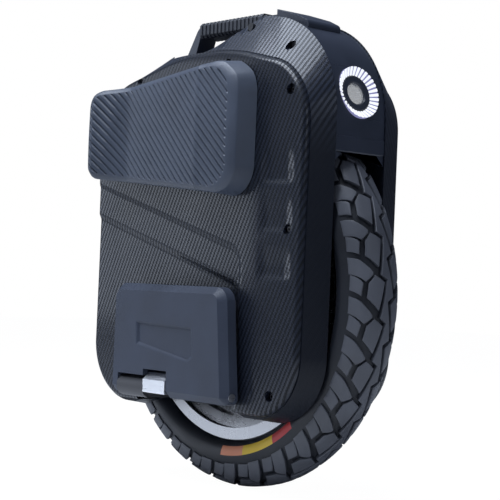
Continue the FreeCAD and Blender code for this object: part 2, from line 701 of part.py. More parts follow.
def make_axle_hardware():
    washers = new_body("axle_washers")
    nuts = new_body("axle_nuts")
    for side in ("", "-"):
        ring = box_corners("axle_end_radius + pin_clearance", f"{side}({HANGER_OUTER})",
                           "axle_end_radius + 8",
                           f"{side}({HANGER_OUTER} + 2)")
        revolve(washers, outline(washers, "XY_Plane", ring))
        rounds = [("0", "0", "axle_end_radius + pin_clearance")]
        flat = "(axle_end_radius + 5)"
        corners = [(f"{flat} * {math.cos(math.radians(angle)) / math.cos(math.radians(30)):.6f}",
                    f"{flat} * {math.sin(math.radians(angle)) / math.cos(math.radians(30)):.6f}")
                   for angle in range(0, 360, 60)]
        hexagon = outline(nuts, "XZ_Plane", corners, f"{side}({HANGER_OUTER} + 2)")
        draw_circles(hexagon, rounds)
        pad(nuts, hexagon, f"axle_half - {HANGER_OUTER} - 3", flipped=bool(side))


# Shells and covers

WALL = [
    ("wall_front", "-wall_low", "wall_low_corner"),
    ("wall_front", "wall_front_shoulder", "wall_front_corner"),
    ("wall_peak_forward", "wall_peak", "wall_crown"),
    ("-wall_rear", "wall_rear_shoulder", "wall_rear_corner"),
    ("-wall_rear", "-wall_low", "wall_low_corner"),
]


def shoulder_drop(slope):
    """How far a shoulder sinks for each millimetre that its outline is drawn in."""
    return f"(sqrt(1 + {slope} ^ 2) - {slope})"


SEAM_FRONT_SLOPE = "((seam_peak - seam_front_shoulder) / (seam_front + seam_peak_back))"
SEAM_REAR_SLOPE = "((seam_peak - seam_rear_shoulder) / (seam_rear - seam_peak_back))"


def seam_outline(inset):
    """The seam between inner shell and side cover, drawn in by an inset."""
    front = f"seam_front - ({inset})"
    rear = f"-seam_rear + ({inset})"
    low = f"-seam_low + ({inset})"
    return [
        (front, low, f"seam_low_corner - ({inset})"),
        (front, f"seam_front_shoulder - ({inset}) * {shoulder_drop(SEAM_FRONT_SLOPE)}",
         f"seam_corner - ({inset})"),
        ("-seam_peak_back", f"seam_peak - ({inset}) * sqrt(1 + {SEAM_FRONT_SLOPE} ^ 2)",
         f"seam_crown - ({inset})"),
        (rear, f"seam_rear_shoulder - ({inset}) * {shoulder_drop(SEAM_REAR_SLOPE)}",
         f"seam_corner - ({inset})"),
        (rear, low, f"seam_low_corner - ({inset})"),
    ]


def arch_circle():
    """The shallow arch in the lower edge, where the hanger comes out."""
    return [("-pedal_back", "-seam_low - arch_radius + arch_rise", "arch_radius")]


SHELL_BOLTS = [("wall_front - bolt_back", "wall_front_shoulder - bolt_drop"),
               ("scoop_front - 2 * bolt_sink_radius", "scoop_high - 2.6 * bolt_sink_radius")]


def make_inner_shells():
    right = new_body("inner_shell_right")
    wall = outline(right, "XZ_Plane", WALL, "well_half")
    seam = outline(right, "XZ_Plane", seam_outline("0"), "seam_half")
    loft(right, [wall, seam])
    tray = outline(right, "XZ_Plane", seam_outline("shell_wall"), "seam_half")
    pocket(right, tray, "seam_half - well_half - shell_wall")
    scoop = [
        ("-scoop_rear", "grip_top + 40"), ("-scoop_rear", "scoop_low"),
        ("-scoop_bend", "scoop_low", "scoop_radius"),
        ("scoop_front", "scoop_high"), ("scoop_front", "grip_top + 40"),
    ]
    pocket(right, outline(right, "XZ_Plane", scoop), flipped=True)
    pocket(right, circles(right, "XZ_Plane", [("0", "0", "axle_hole_radius")]), flipped=True)
    pocket(right, circles(right, "XZ_Plane", arch_circle()), flipped=True)
    sinks = [(across, up, "bolt_sink_radius") for across, up in SHELL_BOLTS]
    pocket(right, circles(right, "XZ_Plane", sinks, "bolt_floor"), "seam_half - bolt_floor", flipped=True)
    holes = [(across, up, "bolt_shank + pin_clearance") for across, up in SHELL_BOLTS]
    pocket(right, circles(right, "XZ_Plane", holes, "well_half"), "bolt_floor - well_half", flipped=True)
    mirrored(right, "inner_shell_left")
    bolts = new_body("shell_bolts_right")
    heads = [(across, up, "bolt_head_radius") for across, up in SHELL_BOLTS]
    pad(bolts, circles(bolts, "XZ_Plane", heads, "bolt_floor"), "bolt_head")
    shanks = [(across, up, "bolt_shank") for across, up in SHELL_BOLTS]
    pad(bolts, circles(bolts, "XZ_Plane", shanks, "bolt_floor"), "bolt_floor - well_half", flipped=True)
    mirrored(bolts, "shell_bolts_left")


COVER_FACE = "seam_half + cover_depth"


def ridge_at(across, rear, front):
    """Height of a diagonal moulding at a place along the cover."""
    return f"{front} + ({rear} - {front}) * (pocket_front - ({across})) / (pocket_front + seam_rear)"


def make_side_covers():
    right = new_body("side_cover_right")
    face = value(COVER_FACE)
    pad(right, outline(right, "XZ_Plane", seam_outline("cover_gap"), "seam_half"), "cover_depth")
    dress(right, "Fillet", "cover_edge", lambda edge: lies_at(edge, "y", -face))
    beyond = "-seam_rear - 40"
    steps = (("ridge_rear", "ridge_front", "ridge_step"),
             ("groove_rear", "groove_front", "ridge_step + pocket_step"))
    for rear, front, depth in steps:
        corners = [
            (beyond, ridge_at(beyond, rear, front)), (beyond, "-seam_low - 40"),
            ("pocket_front", "-seam_low - 40"),
            ("pocket_front", front, "pocket_corner"),
        ]
        pocket(right, outline(right, "XZ_Plane", corners, COVER_FACE), depth)
    for index in range(3):
        top = f"segment_top - {index} * segment_pitch"
        front = "seam_front - segment_inset"
        corners = [
            (f"{front} - segment_width", top), (front, f"{top} - 4"), (front, f"{top} - segment_height"),
            (f"{front} - segment_width * 0.7", f"{top} - segment_height + 6"),
        ]
        rounded = [corner + ("segment_inset / 3",) for corner in corners]
        pocket(right, outline(right, "XZ_Plane", rounded, COVER_FACE), "segment_depth")
    inside = outline(right, "XZ_Plane", seam_outline("cover_gap + cover_flange"), "seam_half")
    pocket(right, inside, "cover_depth - ridge_step - pocket_step - cover_wall", flipped=True)
    upper = [
        ("-seam_rear + cover_flange",
         ridge_at("-seam_rear + cover_flange", "ridge_rear", "ridge_front") + " + 8"),
        ("pocket_front - 30", ridge_at("pocket_front - 30", "ridge_rear", "ridge_front") + " + 8"),
        ("pocket_front + 8", "ridge_front"), ("pocket_front + 8", "-seam_low + 60"),
        ("seam_front - cover_flange", "-seam_low + 90"),
        ("seam_front - cover_flange", "seam_front_shoulder - 80"),
        ("-seam_peak_back", "seam_peak - 56"), ("-seam_rear + cover_flange", "seam_rear_shoulder - 60"),
    ]
    hollow = outline(right, "XZ_Plane", upper, "seam_half")
    pocket(right, hollow, "cover_depth - cover_wall - segment_depth", flipped=True)
    pocket(right, circles(right, "XZ_Plane", arch_circle()), flipped=True)
    foot = box_corners("-barrel_rear - 2 * stop_clearance", "-seam_low - 10",
                       "-barrel_front + 2 * stop_clearance",
                       "-hinge_low + stop_height + 2 * stop_clearance")
    pocket(right, outline(right, "XZ_Plane", foot), flipped=True)
    mirrored(right, "side_cover_left")


# Leg pads

def corner_inset(radius, height):
    """How far a rounded corner draws an end in, at a height over the edge."""
    left = max(radius - height, 0)
    return radius - math.sqrt(radius ** 2 - left ** 2)


def pad_section(share, height, sink):
    """One section across a leg pad, at a share of its rise and a height over its nearer long edge."""
    bevel = value("pad_bevel")
    depth_loss = max(bevel - height, 0)
    base = -value(COVER_FACE + " + pad_clearance")
    front = value("pad_front") - corner_inset(value("pad_front_corner"), height)
    rear = -value("pad_rear") + corner_inset(value("pad_rear_corner"), height)
    swell = value("pad_crown") * (1 - (2 * share - 1) ** 2)
    main = base - value("pad_depth") + depth_loss - swell
    face = main if depth_loss else main + sink
    valley = face + value("pad_valley")
    lip = face - value("pad_lip")
    draw = value("pad_draw")
    crest = rear + bevel
    fall = crest + 3.5 * bevel
    facet = face + value("pad_front_drop")

    def point(across, off):
        along = (across + value("pad_rear")) / value("pad_front + pad_rear")
        low = value("pad_low_rear") + value("pad_low_front - pad_low_rear") * along
        high = value("pad_high_rear") + value("pad_high_front - pad_high_rear") * along
        return Vector(across, off, low + share * (high - low))

    path = [
        point(fall, valley), point(value("pad_crease"), face), point(front - bevel, facet),
        point(front, facet + bevel),
        point(front - draw, base), point(rear + draw, base), point(rear, lip + bevel), point(crest, lip),
    ]
    edges = [Part.makeLine(first, last) for first, last in zip(path, path[1:])]
    slope = point((crest + fall) / 2, (lip + valley) / 2 + 2)
    edges.append(Part.Arc(path[-1], slope, path[0]).toShape())
    return Part.Wire(edges)


def pad_form(sink):
    """The crowned pad with rounded corners, its face sunk by an amount inside the bevels."""
    rise = value("pad_high_front - pad_low_front")
    steps = [0, value("pad_bevel / 3"), value("pad_bevel"), value("pad_front_corner")]
    sections = [pad_section(height / rise, height, sink) for height in steps]
    sections.append(pad_section(0.5, rise / 2, sink))
    sections += [pad_section(1 - height / rise, height, sink) for height in reversed(steps)]
    return Part.makeLoft(sections, True, True)


def make_leg_pads():
    form = pad_form(0)
    floor = pad_form(value("channel_depth"))
    width = value("channel_width")
    pitch = value("channel_pitch")
    count = int(value("channel_count"))
    box = form.BoundBox
    centre = Vector((box.XMin + box.XMax) / 2, box.YMin - 1, (box.ZMin + box.ZMax) / 2)
    long = box.DiagonalLength
    slant = Rotation(Vector(0, 1, 0), 45)
    across = slant.multVec(Vector(0, 0, 1))
    tools = []
    for index in range(count):
        blade = Part.makeBox(long, box.YLength, width, Vector(-long / 2, 0, -width / 2))
        shift = across * (pitch * (index - (count - 1) / 2))
        blade.Placement = Placement(centre + shift, slant).multiply(blade.Placement)
        tools.append(blade.cut(floor))
    right = placed_shape("leg_pad_right", form.cut(tools))
    if right.Shape.Volume >= form.Volume:
        raise RuntimeError("the pad channels cut nothing")
    mirrored(right, "leg_pad_left")


# Pedals and hangers

PEDAL_REAR = "(-pedal_back - pedal_length / 2)"
PEDAL_FRONT = "(-pedal_back + pedal_length / 2)"
PEDAL_TOP = "(pedal_reach - hinge_low)"
PEDAL_LOW = "(-hinge_low - ear_radius)"
PEDAL_OUTER = "(hinge_off - pedal_inner + pedal_thickness)"
STOP_REAR = "(-barrel_front - stop_length)"
# Corners of the recess in a pedal's underside: shares of its length from the rear, and of its reach from the top.
ARROW = [(0.233, 0.373), (0.708, 0.396), (0.725, 0.664), (0.683, 0.709), (0.242, 0.582)]


def make_pedals():
    right = new_body("pedal_right")
    corners = [
        (PEDAL_REAR, PEDAL_LOW, "ear_radius"), (PEDAL_FRONT, PEDAL_LOW, "ear_radius"),
        (PEDAL_FRONT, PEDAL_TOP, "pedal_corner"), (PEDAL_REAR, PEDAL_TOP, "pedal_corner"),
    ]
    pad(right, outline(right, "XZ_Plane", corners, "hinge_off - pedal_inner"), "pedal_thickness")
    face = -value(PEDAL_OUTER)
    low = value(PEDAL_LOW)
    dress(right, "Chamfer", "pedal_bevel",
          lambda edge: lies_at(edge, "y", face) and edge.CenterOfMass.z > low + 3 * value("ear_radius"))
    barrel_room = box_corners(f"{PEDAL_REAR} + ear_length", f"{PEDAL_LOW} - 5",
                              "-barrel_front + stop_clearance",
                              "-hinge_low + barrel_radius + stop_clearance", None)
    pocket(right, outline(right, "XZ_Plane", barrel_room), flipped=True)
    stop_room = box_corners(f"{STOP_REAR} - stop_clearance", f"{PEDAL_LOW} - 5",
                            "-barrel_front + stop_clearance",
                            "-hinge_low + stop_height + 4", None)
    pocket(right, outline(right, "XZ_Plane", stop_room), flipped=True)
    arrow = []
    for along, down in ARROW:
        arrow.append((f"{PEDAL_REAR} + pedal_length * {along}", f"{PEDAL_TOP} - pedal_reach * {down}"))
    pocket(right, outline(right, "XZ_Plane", arrow, PEDAL_OUTER), "arrow_depth")
    bore = circles(right, "YZ_Plane", [("-hinge_off", "-hinge_low", "pin_radius + pin_clearance")])
    pocket(right, bore, both_ways=True)
    mirrored(right, "pedal_left")
    mat = new_body("pedal_mat_right")
    corners = box_corners(f"{PEDAL_REAR} + mat_margin", "-hinge_low + stop_height + mat_margin",
                          f"{PEDAL_FRONT} - mat_margin", f"{PEDAL_TOP} - mat_margin",
                          "pedal_corner - mat_margin")
    pad(mat, outline(mat, "XZ_Plane", corners, "hinge_off - pedal_inner"), "mat_thickness / 2", flipped=True)
    left = f"{PEDAL_REAR} + 2 * mat_margin"
    rib = box_corners(left, "-hinge_low + stop_height + 2 * mat_margin", f"{left} + mat_rib",
                      f"{PEDAL_TOP} - 2 * mat_margin")
    strip = pad(mat, outline(mat, "XZ_Plane", rib, "hinge_off - pedal_inner"), "mat_thickness", flipped=True)
    span = "(pedal_length - 4 * mat_margin - mat_rib)"
    row(mat, strip, span, f"floor({span} / mat_pitch) + 1")
    mirrored(mat, "pedal_mat_left")
    pin = new_body("pedal_pin_right")
    pad(pin, circles(pin, "YZ_Plane", [("-hinge_off", "-hinge_low", "pin_radius")], PEDAL_REAR),
        "pedal_length")
    mirrored(pin, "pedal_pin_left")


def make_hangers():
    right = new_body("hanger_right")
    low = "(-hinge_low - barrel_radius)"
    corners = [
        ("hanger_head", "hanger_head", "hanger_head - 2"), ("-hanger_head", "hanger_head", "hanger_head - 2"),
        ("-hanger_head", "-hanger_head / 2", "20"), ("-barrel_rear", "-hinge_low + barrel_radius", "8"),
        ("-barrel_rear", low), ("-barrel_front", low),
        ("hanger_head", "-hinge_low + 2 * barrel_radius", "20"),
    ]
    pad(right, outline(right, "XZ_Plane", corners, HANGER_INNER), "hanger_thickness")
    pocket(right, circles(right, "XZ_Plane", [("0", "0", "axle_end_radius + pin_clearance")]), flipped=True)
    arm = [
        ("-" + HANGER_INNER, low), ("-hinge_off - barrel_radius", low, "barrel_radius - 1"),
        ("-hinge_off - barrel_radius", "-hinge_low + barrel_radius", "barrel_radius - 1"),
        ("-" + HANGER_INNER, "-hinge_low + barrel_radius"),
    ]
    pad(right, outline(right, "YZ_Plane", arm, "-barrel_rear"),
        f"barrel_rear + ({STOP_REAR}) - pin_clearance")
    bore = circles(right, "YZ_Plane", [("-hinge_off", "-hinge_low", "pin_radius + pin_clearance")],
                   "-barrel_rear")
    pocket(right, bore, "barrel_rear", flipped=True)
    mirrored(right, "hanger_left")
    stop = new_body("pedal_stop_right")
    outer = "(-hinge_off - barrel_radius + 0.5)"
    corners = [
        ("-" + HANGER_OUTER, "-hinge_low - 6"), (outer, "-hinge_low - 6", "2"),
        (outer, "-hinge_low + stop_height * 0.55"),
        (f"{outer} + stop_height * 0.45", "-hinge_low + stop_height"),
        ("-" + HANGER_OUTER, "-hinge_low + stop_height"),
    ]
    pad(stop, outline(stop, "YZ_Plane", corners, STOP_REAR), "stop_length")
    bore = circles(stop, "YZ_Plane", [("-hinge_off", "-hinge_low", "pin_radius + pin_clearance")], STOP_REAR)
    pocket(stop, bore, "stop_length", flipped=True)
    mirrored(stop, "pedal_stop_left")


# Front, top and rear between the inner shells

INNER_HALF = "(well_half - cowl_clearance)"
COWL_FRONT = "(wall_front - cowl_recess)"
COWL_SHOULDER = "(wall_front_shoulder - cowl_recess)"
COWL_CORNER = "(wall_front_corner - cowl_recess)"
COWL_SLOPE = "((wall_peak - wall_front_shoulder) / (wall_front - wall_peak_forward))"
COWL_TOP = f"({COWL_SHOULDER} + ({COWL_FRONT} - cap_rear) * {COWL_SLOPE})"


def lamp_frame():
    """Where the headlight axis leaves the cowl: local Z points out along the axis."""
    rise = math.atan(value(COWL_SLOPE))
    radius = value(COWL_CORNER)
    reach = radius * math.tan((math.pi / 2 - rise) / 2)
    centre = Vector(value(COWL_FRONT) - radius, 0, value(COWL_SHOULDER) - reach + value("tyre_radius"))
    tilt = math.radians(value("lamp_tilt"))
    axis = Vector(math.cos(tilt), 0, math.sin(tilt))
    return Placement(centre + axis * radius, Rotation(Vector(0, 0, 1), axis))


def make_front_cowl():
    blank = new_body("front_cowl_blank")
    NODES.remove(blank)
    foot = "cowl_opening - cowl_gusset"
    corners = [
        (COWL_FRONT, foot), (COWL_FRONT, COWL_SHOULDER, COWL_CORNER), ("cap_rear", COWL_TOP),
        ("cap_rear", f"{COWL_TOP} - cowl_wall"),
        (f"{COWL_FRONT} - cowl_wall", f"{COWL_SHOULDER} - cowl_wall", f"{COWL_CORNER} - cowl_wall"),
        (f"{COWL_FRONT} - cowl_wall", foot),
    ]
    pad(blank, outline(blank, "XZ_Plane", corners), f"2 * {INNER_HALF}", both_ways=True)
    bar = box_corners(f"{COWL_FRONT} - cowl_wall", "cowl_opening", f"{COWL_FRONT} + bar_proud",
                      "cowl_opening + bar_rise", "2")
    pad(blank, outline(blank, "XZ_Plane", bar), f"2 * {INNER_HALF}", both_ways=True)
    opening = [
        ("-cowl_gusset_half - cowl_gusset", f"{foot} - 5"), ("-cowl_gusset_half - cowl_gusset", foot),
        ("-cowl_gusset_half", "cowl_opening"), ("cowl_gusset_half", "cowl_opening"),
        ("cowl_gusset_half + cowl_gusset", foot), ("cowl_gusset_half + cowl_gusset", f"{foot} - 5"),
    ]
    pocket(blank, outline(blank, "YZ_Plane", opening), flipped=True)
    bore = doc.addObject("Part::Cylinder", "headlight_bore")
    bore.setExpression("Radius", bound("lamp_radius"))
    bore.setExpression("Height", bound("2 * lamp_depth"))
    frame = lamp_frame()
    bore.Placement = frame.multiply(Placement(Vector(0, 0, -value("lamp_depth * 1.5")), Rotation()))
    cowl = doc.addObject("Part::Cut", "front_cowl")
    cowl.Label = "front_cowl"
    cowl.Base = blank
    cowl.Tool = bore
    doc.recompute()
    NODES.append(cowl)


def lamp_piece(label, corners):
    """A turned piece of the headlight, drawn as radius and height along its axis."""
    body = new_body(label, raised=False)
    body.Placement = lamp_frame()
    revolve(body, outline(body, "XZ_Plane", corners), "Z_Axis")
    return body


def make_headlight():
    outer = "(lamp_radius - lamp_clearance)"
    core = "(ring_inner - 2)"
    lamp_piece("headlight_housing", [
        ("0", "-lamp_depth"), (outer, "-lamp_depth"), (outer, "-ring_depth"), (core, "-ring_depth"),
        (core, "-lamp_depth + 4"), ("0", "-lamp_depth + 4"),
    ])
    ring = lamp_piece("headlight_ring", [
        ("ring_inner", "-ring_depth"), (outer, "-ring_depth"), (outer, "1.5"), ("ring_inner", "1.5"),
    ])
    gap = box_corners("ring_inner + 1", "-0.5", f"{outer} - 1", "0.5")
    slot = pocket(ring, outline(ring, "XY_Plane", gap, "1.5"), "1.5")
    polar(ring, slot, "ring_segments", "Z_Axis")
    lamp_piece("headlight_bezel", [
        ("lens_radius + lamp_clearance", "-ring_depth"), ("ring_inner - lamp_clearance", "-ring_depth"),
        ("ring_inner - lamp_clearance", "2"), ("ring_inner - 2.5", "3"),
        ("lens_radius + lamp_clearance", "-2.5"),
    ])
    inside = f"{core} - lamp_clearance"
    lamp_piece("headlight_reflector", [
        ("0", "-lamp_depth + 4"), (inside, "-lamp_depth + 4"), (inside, "-ring_depth"),
        ("lens_radius - 1", "-ring_depth"),
        ("lens_radius * 0.5", "-lamp_depth + 8"), ("0", "-lamp_depth + 6"),
    ])
    lamp_piece("headlight_lens", [
        ("0", "-ring_depth"), ("lens_radius", "-ring_depth"), ("lens_radius", "-ring_depth + 3"),
        ("lens_radius * 0.7", "-ring_depth + 6"), ("0", "-ring_depth + 7.5"),
    ])


def make_top_cap():
    body = new_body("top_cap")
    rise = f"{COWL_TOP} + cap_wall"
    corners = [
        ("cap_rear", COWL_TOP + " - 60"), ("cap_front", COWL_TOP + " - 60"),
        ("cap_front", f"{rise} - 17", "8"),
        ("cap_front - 20", f"{rise} - 8", "12"), ("cap_rear", f"{rise} + 4"),
    ]
    pad(body, outline(body, "XZ_Plane", corners), "2 * cap_half", both_ways=True)
    room = "pin_clearance"
    under = [
        (f"{COWL_FRONT} + {room}", "0"),
        (f"{COWL_FRONT} + {room}", f"{COWL_SHOULDER} + {room}", f"{COWL_CORNER} + {room}"),
        ("cap_rear - 20", f"{COWL_TOP} + 20 * {COWL_SLOPE} + {room}"), ("cap_rear - 20", "0"),
    ]
    pocket(body, outline(body, "XZ_Plane", under), both_ways=True)


def make_deck():
    body = new_body("deck")
    corners = box_corners("-deck_rear", "deck_height - deck_wall", "deck_front", "deck_height")
    pad(body, outline(body, "XZ_Plane", corners), f"2 * {INNER_HALF}", both_ways=True)


CORE_TOP = "(grip_top - grip_wall)"
CORE_LOW = "(grip_top - grip_height + grip_wall)"
LIFT_PLACE = "(grip_front - grip_rear) / 2 + 24"
POWER_PLACE = "grip_front + post_length / 2"


def make_handle():
    beam = new_body("handle_beam")
    corners = [
        ("grip_front", "deck_height"), ("grip_front + post_length", "deck_height"),
        ("grip_front + post_length", CORE_TOP, "8"), ("-grip_rear", CORE_TOP, "14"),
        ("-grip_rear - ramp_length", "deck_height"), ("-grip_rear - ramp_length + 24", "deck_height"),
        ("-grip_rear + 4", CORE_LOW, "2"), ("grip_front", CORE_LOW),
    ]
    pad(beam, outline(beam, "XZ_Plane", corners), "2 * (grip_half - grip_wall)", both_ways=True)
    seat = circles(beam, "XY_Plane", [(POWER_PLACE, "0", "button_radius + button_play")], CORE_TOP)
    pocket(beam, seat, "button_height + button_travel")
    seat = circles(beam, "XY_Plane", [(LIFT_PLACE, "0", "button_radius + button_play")], CORE_LOW)
    pocket(beam, seat, "button_height - grip_wall + button_travel", flipped=True)
    grip = new_body("handle_grip")
    low = "(grip_top - grip_height)"
    corners = box_corners("-grip_rear + 6", low, "grip_front - pin_clearance", "grip_top")
    pad(grip, outline(grip, "XZ_Plane", corners), "2 * grip_half", both_ways=True)
    along = value("grip_rear + grip_front - 8")
    dress(grip, "Chamfer", "grip_wall", lambda edge: edge.Length > along)
    core = box_corners("-grip_half + grip_wall", CORE_LOW, "grip_half - grip_wall", CORE_TOP)
    pocket(grip, outline(grip, "YZ_Plane", core), both_ways=True)
    frame = box_corners("-grip_half - 5", f"{low} - 5", "grip_half + 5", "grip_top + 5")
    side = "grip_half - grip_groove_depth"
    floor = f"{low} + grip_groove_depth"
    roof = "grip_top - grip_groove_depth"
    inner = [
        ("-grip_half + grip_wall", floor), ("grip_half - grip_wall", floor), (side, f"{low} + grip_wall"),
        (side, CORE_TOP), ("grip_half - grip_wall", roof), ("-grip_half + grip_wall", roof),
        (f"-({side})", CORE_TOP), (f"-({side})", f"{low} + grip_wall"),
    ]
    first = "-grip_rear + 6 + grip_rib_pitch - grip_groove"
    ring = outline(grip, "YZ_Plane", frame, first)
    draw_outline(ring, inner)
    groove = pocket(grip, ring, "grip_groove", flipped=True)
    count = "floor((grip_front + grip_rear - 6) / grip_rib_pitch) - 1"
    row(grip, groove, f"grip_rib_pitch * ({count} - 1)", count)
    seat = circles(grip, "XY_Plane", [(LIFT_PLACE, "0", "button_radius + button_play")], f"{low} - 2")
    pocket(grip, seat, "grip_wall + 3", flipped=True)


def make_button(label, across, top):
    """A round button with its top at a height over the axle."""
    body = new_body(label)
    pad(body, circles(body, "XY_Plane", [(across, "0", "button_radius")], top), "button_height", flipped=True)
    return body


def make_buttons():
    make_button("power_button", POWER_PLACE, f"{CORE_TOP} + button_proud")
    make_button("lift_button", LIFT_PLACE, "grip_top - grip_height - button_proud + button_height")


def make_liner():
    radius = value("liner_radius")
    half_angle = math.radians(value("liner_span")) / 2
    arch = ring_sector(radius, radius + value("liner_wall"), value(INNER_HALF), half_angle)
    middle = arch.Solids[0].CenterOfMass
    arch.rotate(Vector(0, 0, 0), Vector(0, 1, 0), -math.degrees(math.atan2(middle.x, middle.z)))
    placed_shape("wheel_arch_liner", arch)


REAR_BACK = "(-wall_rear + cowl_recess)"
REAR_SHOULDER = "(wall_rear_shoulder - cowl_recess)"
REAR_CORNER = "(wall_rear_corner - cowl_recess)"
REAR_SLOPE = "((wall_peak - wall_rear_shoulder) / (wall_rear + wall_peak_forward))"
REAR_END = "(-deck_rear - 0.5)"
REAR_TOP = f"({REAR_SHOULDER} + ({REAR_END} - {REAR_BACK}) * {REAR_SLOPE})"


def make_rear_cowl():
    body = new_body("rear_cowl")
    corners = [
        (REAR_BACK, "rear_low"), (REAR_BACK, REAR_SHOULDER, REAR_CORNER), (REAR_END, REAR_TOP),
        (REAR_END, f"{REAR_TOP} - cowl_wall"),
        (f"{REAR_BACK} + cowl_wall", f"{REAR_SHOULDER} - cowl_wall", f"{REAR_CORNER} - cowl_wall"),
        (f"{REAR_BACK} + cowl_wall", "rear_low"),
    ]
    pad(body, outline(body, "XZ_Plane", corners), f"2 * {INNER_HALF}", both_ways=True)
    window = box_corners("-tail_width / 2", "tail_height - tail_rise / 2", "tail_width / 2",
                         "tail_height + tail_rise / 2", "4")
    pocket(body, outline(body, "YZ_Plane", window, REAR_BACK), "tail_depth", flipped=True)
    bore = circles(body, "YZ_Plane", [("0", "charge_height", "charge_radius + lamp_clearance")], REAR_BACK)
    pocket(body, bore, "cowl_wall", flipped=True)
    lens = new_body("tail_light")
    room = "lamp_clearance"
    corners = box_corners(f"-tail_width / 2 + {room}", f"tail_height - tail_rise / 2 + {room}",
                          f"tail_width / 2 - {room}", f"tail_height + tail_rise / 2 - {room}", "4")
    pad(lens, outline(lens, "YZ_Plane", corners, f"{REAR_BACK} - 1"), "tail_depth + 1")
    socket = new_body("charge_port")
    rounds = [("0", "charge_height", "charge_radius")]
    pad(socket, circles(socket, "YZ_Plane", rounds, REAR_BACK), "charge_depth")
    flange = [("0", "charge_height", "charge_radius + 4")]
    pad(socket, circles(socket, "YZ_Plane", flange, f"{REAR_BACK} + cowl_wall"), "2")
    hollow = circles(socket, "YZ_Plane", [("0", "charge_height", "charge_radius - 2")], REAR_BACK)
    pocket(socket, hollow, "charge_depth - 4", flipped=True)


# Batteries and electronics

def make_packs():
    base = "well_half + shell_wall"
    spans = (("front", "pack_inner", "seam_front - shell_wall - pack_margin"),
             ("rear", "-seam_rear + shell_wall + pack_margin", "-pack_inner"))
    for name, rear, front in spans:
        right = new_body(f"battery_pack_{name}_right")
        corners = box_corners(rear, "-pack_low", front, "pack_high", "pack_corner")
        pad(right, outline(right, "XZ_Plane", corners, base), "pack_thickness")
        mirrored(right, f"battery_pack_{name}_left")


def make_electronics():
    under = "deck_height - deck_wall"
    sink = new_body("heat_sink")
    plate = box_corners("-deck_rear + 50", f"{under} - sink_height", "deck_front - 50", under)
    pad(sink, outline(sink, "XZ_Plane", plate), "2 * board_half - 10", both_ways=True)
    gap = "((2 * board_half - 10) / (2 * sink_fins - 1))"
    slot = box_corners(f"-board_half + 5 + {gap}", f"{under} - sink_height + 5",
                       f"-board_half + 5 + 2 * {gap}", f"{under} - 4")
    cut = pocket(sink, outline(sink, "YZ_Plane", slot), both_ways=True)
    row(sink, cut, f"2 * {gap} * (sink_fins - 2)", "sink_fins - 1", "Y_Axis")
    board = new_body("control_board")
    top = f"{under} - sink_height"
    corners = box_corners("-deck_rear + 20", f"{top} - board_thickness", "deck_front - 10", top)
    pad(board, outline(board, "XZ_Plane", corners), "2 * board_half", both_ways=True)


def check_and_write():
    doc.recompute()
    faults = [thing.Label for thing in doc.Objects if {"Invalid", "Error"} & set(thing.State)]
    for piece in NODES:
        if piece.Shape.isNull() or not piece.Shape.isValid() or not piece.Shape.Solids:
            faults.append(piece.Label)
    if faults:
        raise RuntimeError("failed pieces: " + ", ".join(faults))
    os.makedirs("parts", exist_ok=True)
    for piece in NODES:
        piece.Shape.exportStep(f"parts/{piece.Label}.step")


make_rim()
make_valve()
make_axle()
make_bearings()
make_motor_covers()
make_stator()
make_windings()
make_magnets()
make_axle_hardware()
make_inner_shells()
make_side_covers()
make_leg_pads()
make_pedals()
make_hangers()
make_front_cowl()
make_headlight()
make_top_cap()
make_deck()
make_handle()
make_buttons()
make_liner()
make_rear_cowl()
make_packs()
make_electronics()
make_tyre()
check_and_write()
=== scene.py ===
import json
import math

import bmesh
import bpy
from bpy.props import FloatProperty, FloatVectorProperty, IntProperty, PointerProperty
from mathutils import Matrix, Vector


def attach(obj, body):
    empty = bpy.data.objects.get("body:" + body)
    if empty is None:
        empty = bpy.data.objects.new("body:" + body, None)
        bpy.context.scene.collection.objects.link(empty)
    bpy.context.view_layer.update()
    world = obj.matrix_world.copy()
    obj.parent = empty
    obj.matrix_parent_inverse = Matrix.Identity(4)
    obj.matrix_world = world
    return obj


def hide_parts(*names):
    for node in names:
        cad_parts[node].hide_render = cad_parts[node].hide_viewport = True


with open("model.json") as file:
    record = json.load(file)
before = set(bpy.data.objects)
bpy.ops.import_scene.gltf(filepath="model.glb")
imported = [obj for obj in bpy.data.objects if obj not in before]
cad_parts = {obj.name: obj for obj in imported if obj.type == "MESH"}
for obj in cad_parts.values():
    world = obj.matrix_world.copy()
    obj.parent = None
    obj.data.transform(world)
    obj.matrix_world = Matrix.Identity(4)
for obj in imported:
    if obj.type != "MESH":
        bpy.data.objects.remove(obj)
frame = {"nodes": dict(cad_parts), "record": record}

bl_info = {
    "name": "Electric unicycle looks",
    "version": (1, 0, 0),
    "blender": (4, 5, 0),
    "location": "View3D > Sidebar > Unicycle",
    "description": "Builds the looks of an electric unicycle with folding pedals round its CAD frame",
    "category": "Object",
}

MM = 0.001
MERGE = 0.00001
AXLE = Vector((0, 0, 0.25))


# Nodes of materials

# Sockets of a colour mix: share, first colour, second colour and result.
MIX_SHARE, MIX_FIRST, MIX_SECOND, MIX_RESULT = 0, 6, 7, 2
WHOLE = (0.0, 1.0)
# Ranges of a noise that are spread over a gloss and over a tone.
NOISE_RANGE = (0.3, 0.7)
TONE_RANGE = (0.35, 0.7)


def add_node(tree, kind, **values):
    """A node of this kind, with values for its inputs by name or for its settings."""
    node = tree.nodes.new(kind)
    for name, value in values.items():
        socket = next((item for item in node.inputs if item.name.replace(" ", "_").lower() == name), None)
        if hasattr(node, name):
            setattr(node, name, value)
        elif socket is not None:
            socket.default_value = value
        else:
            raise ValueError(f"{kind} has no {name}")
    return node


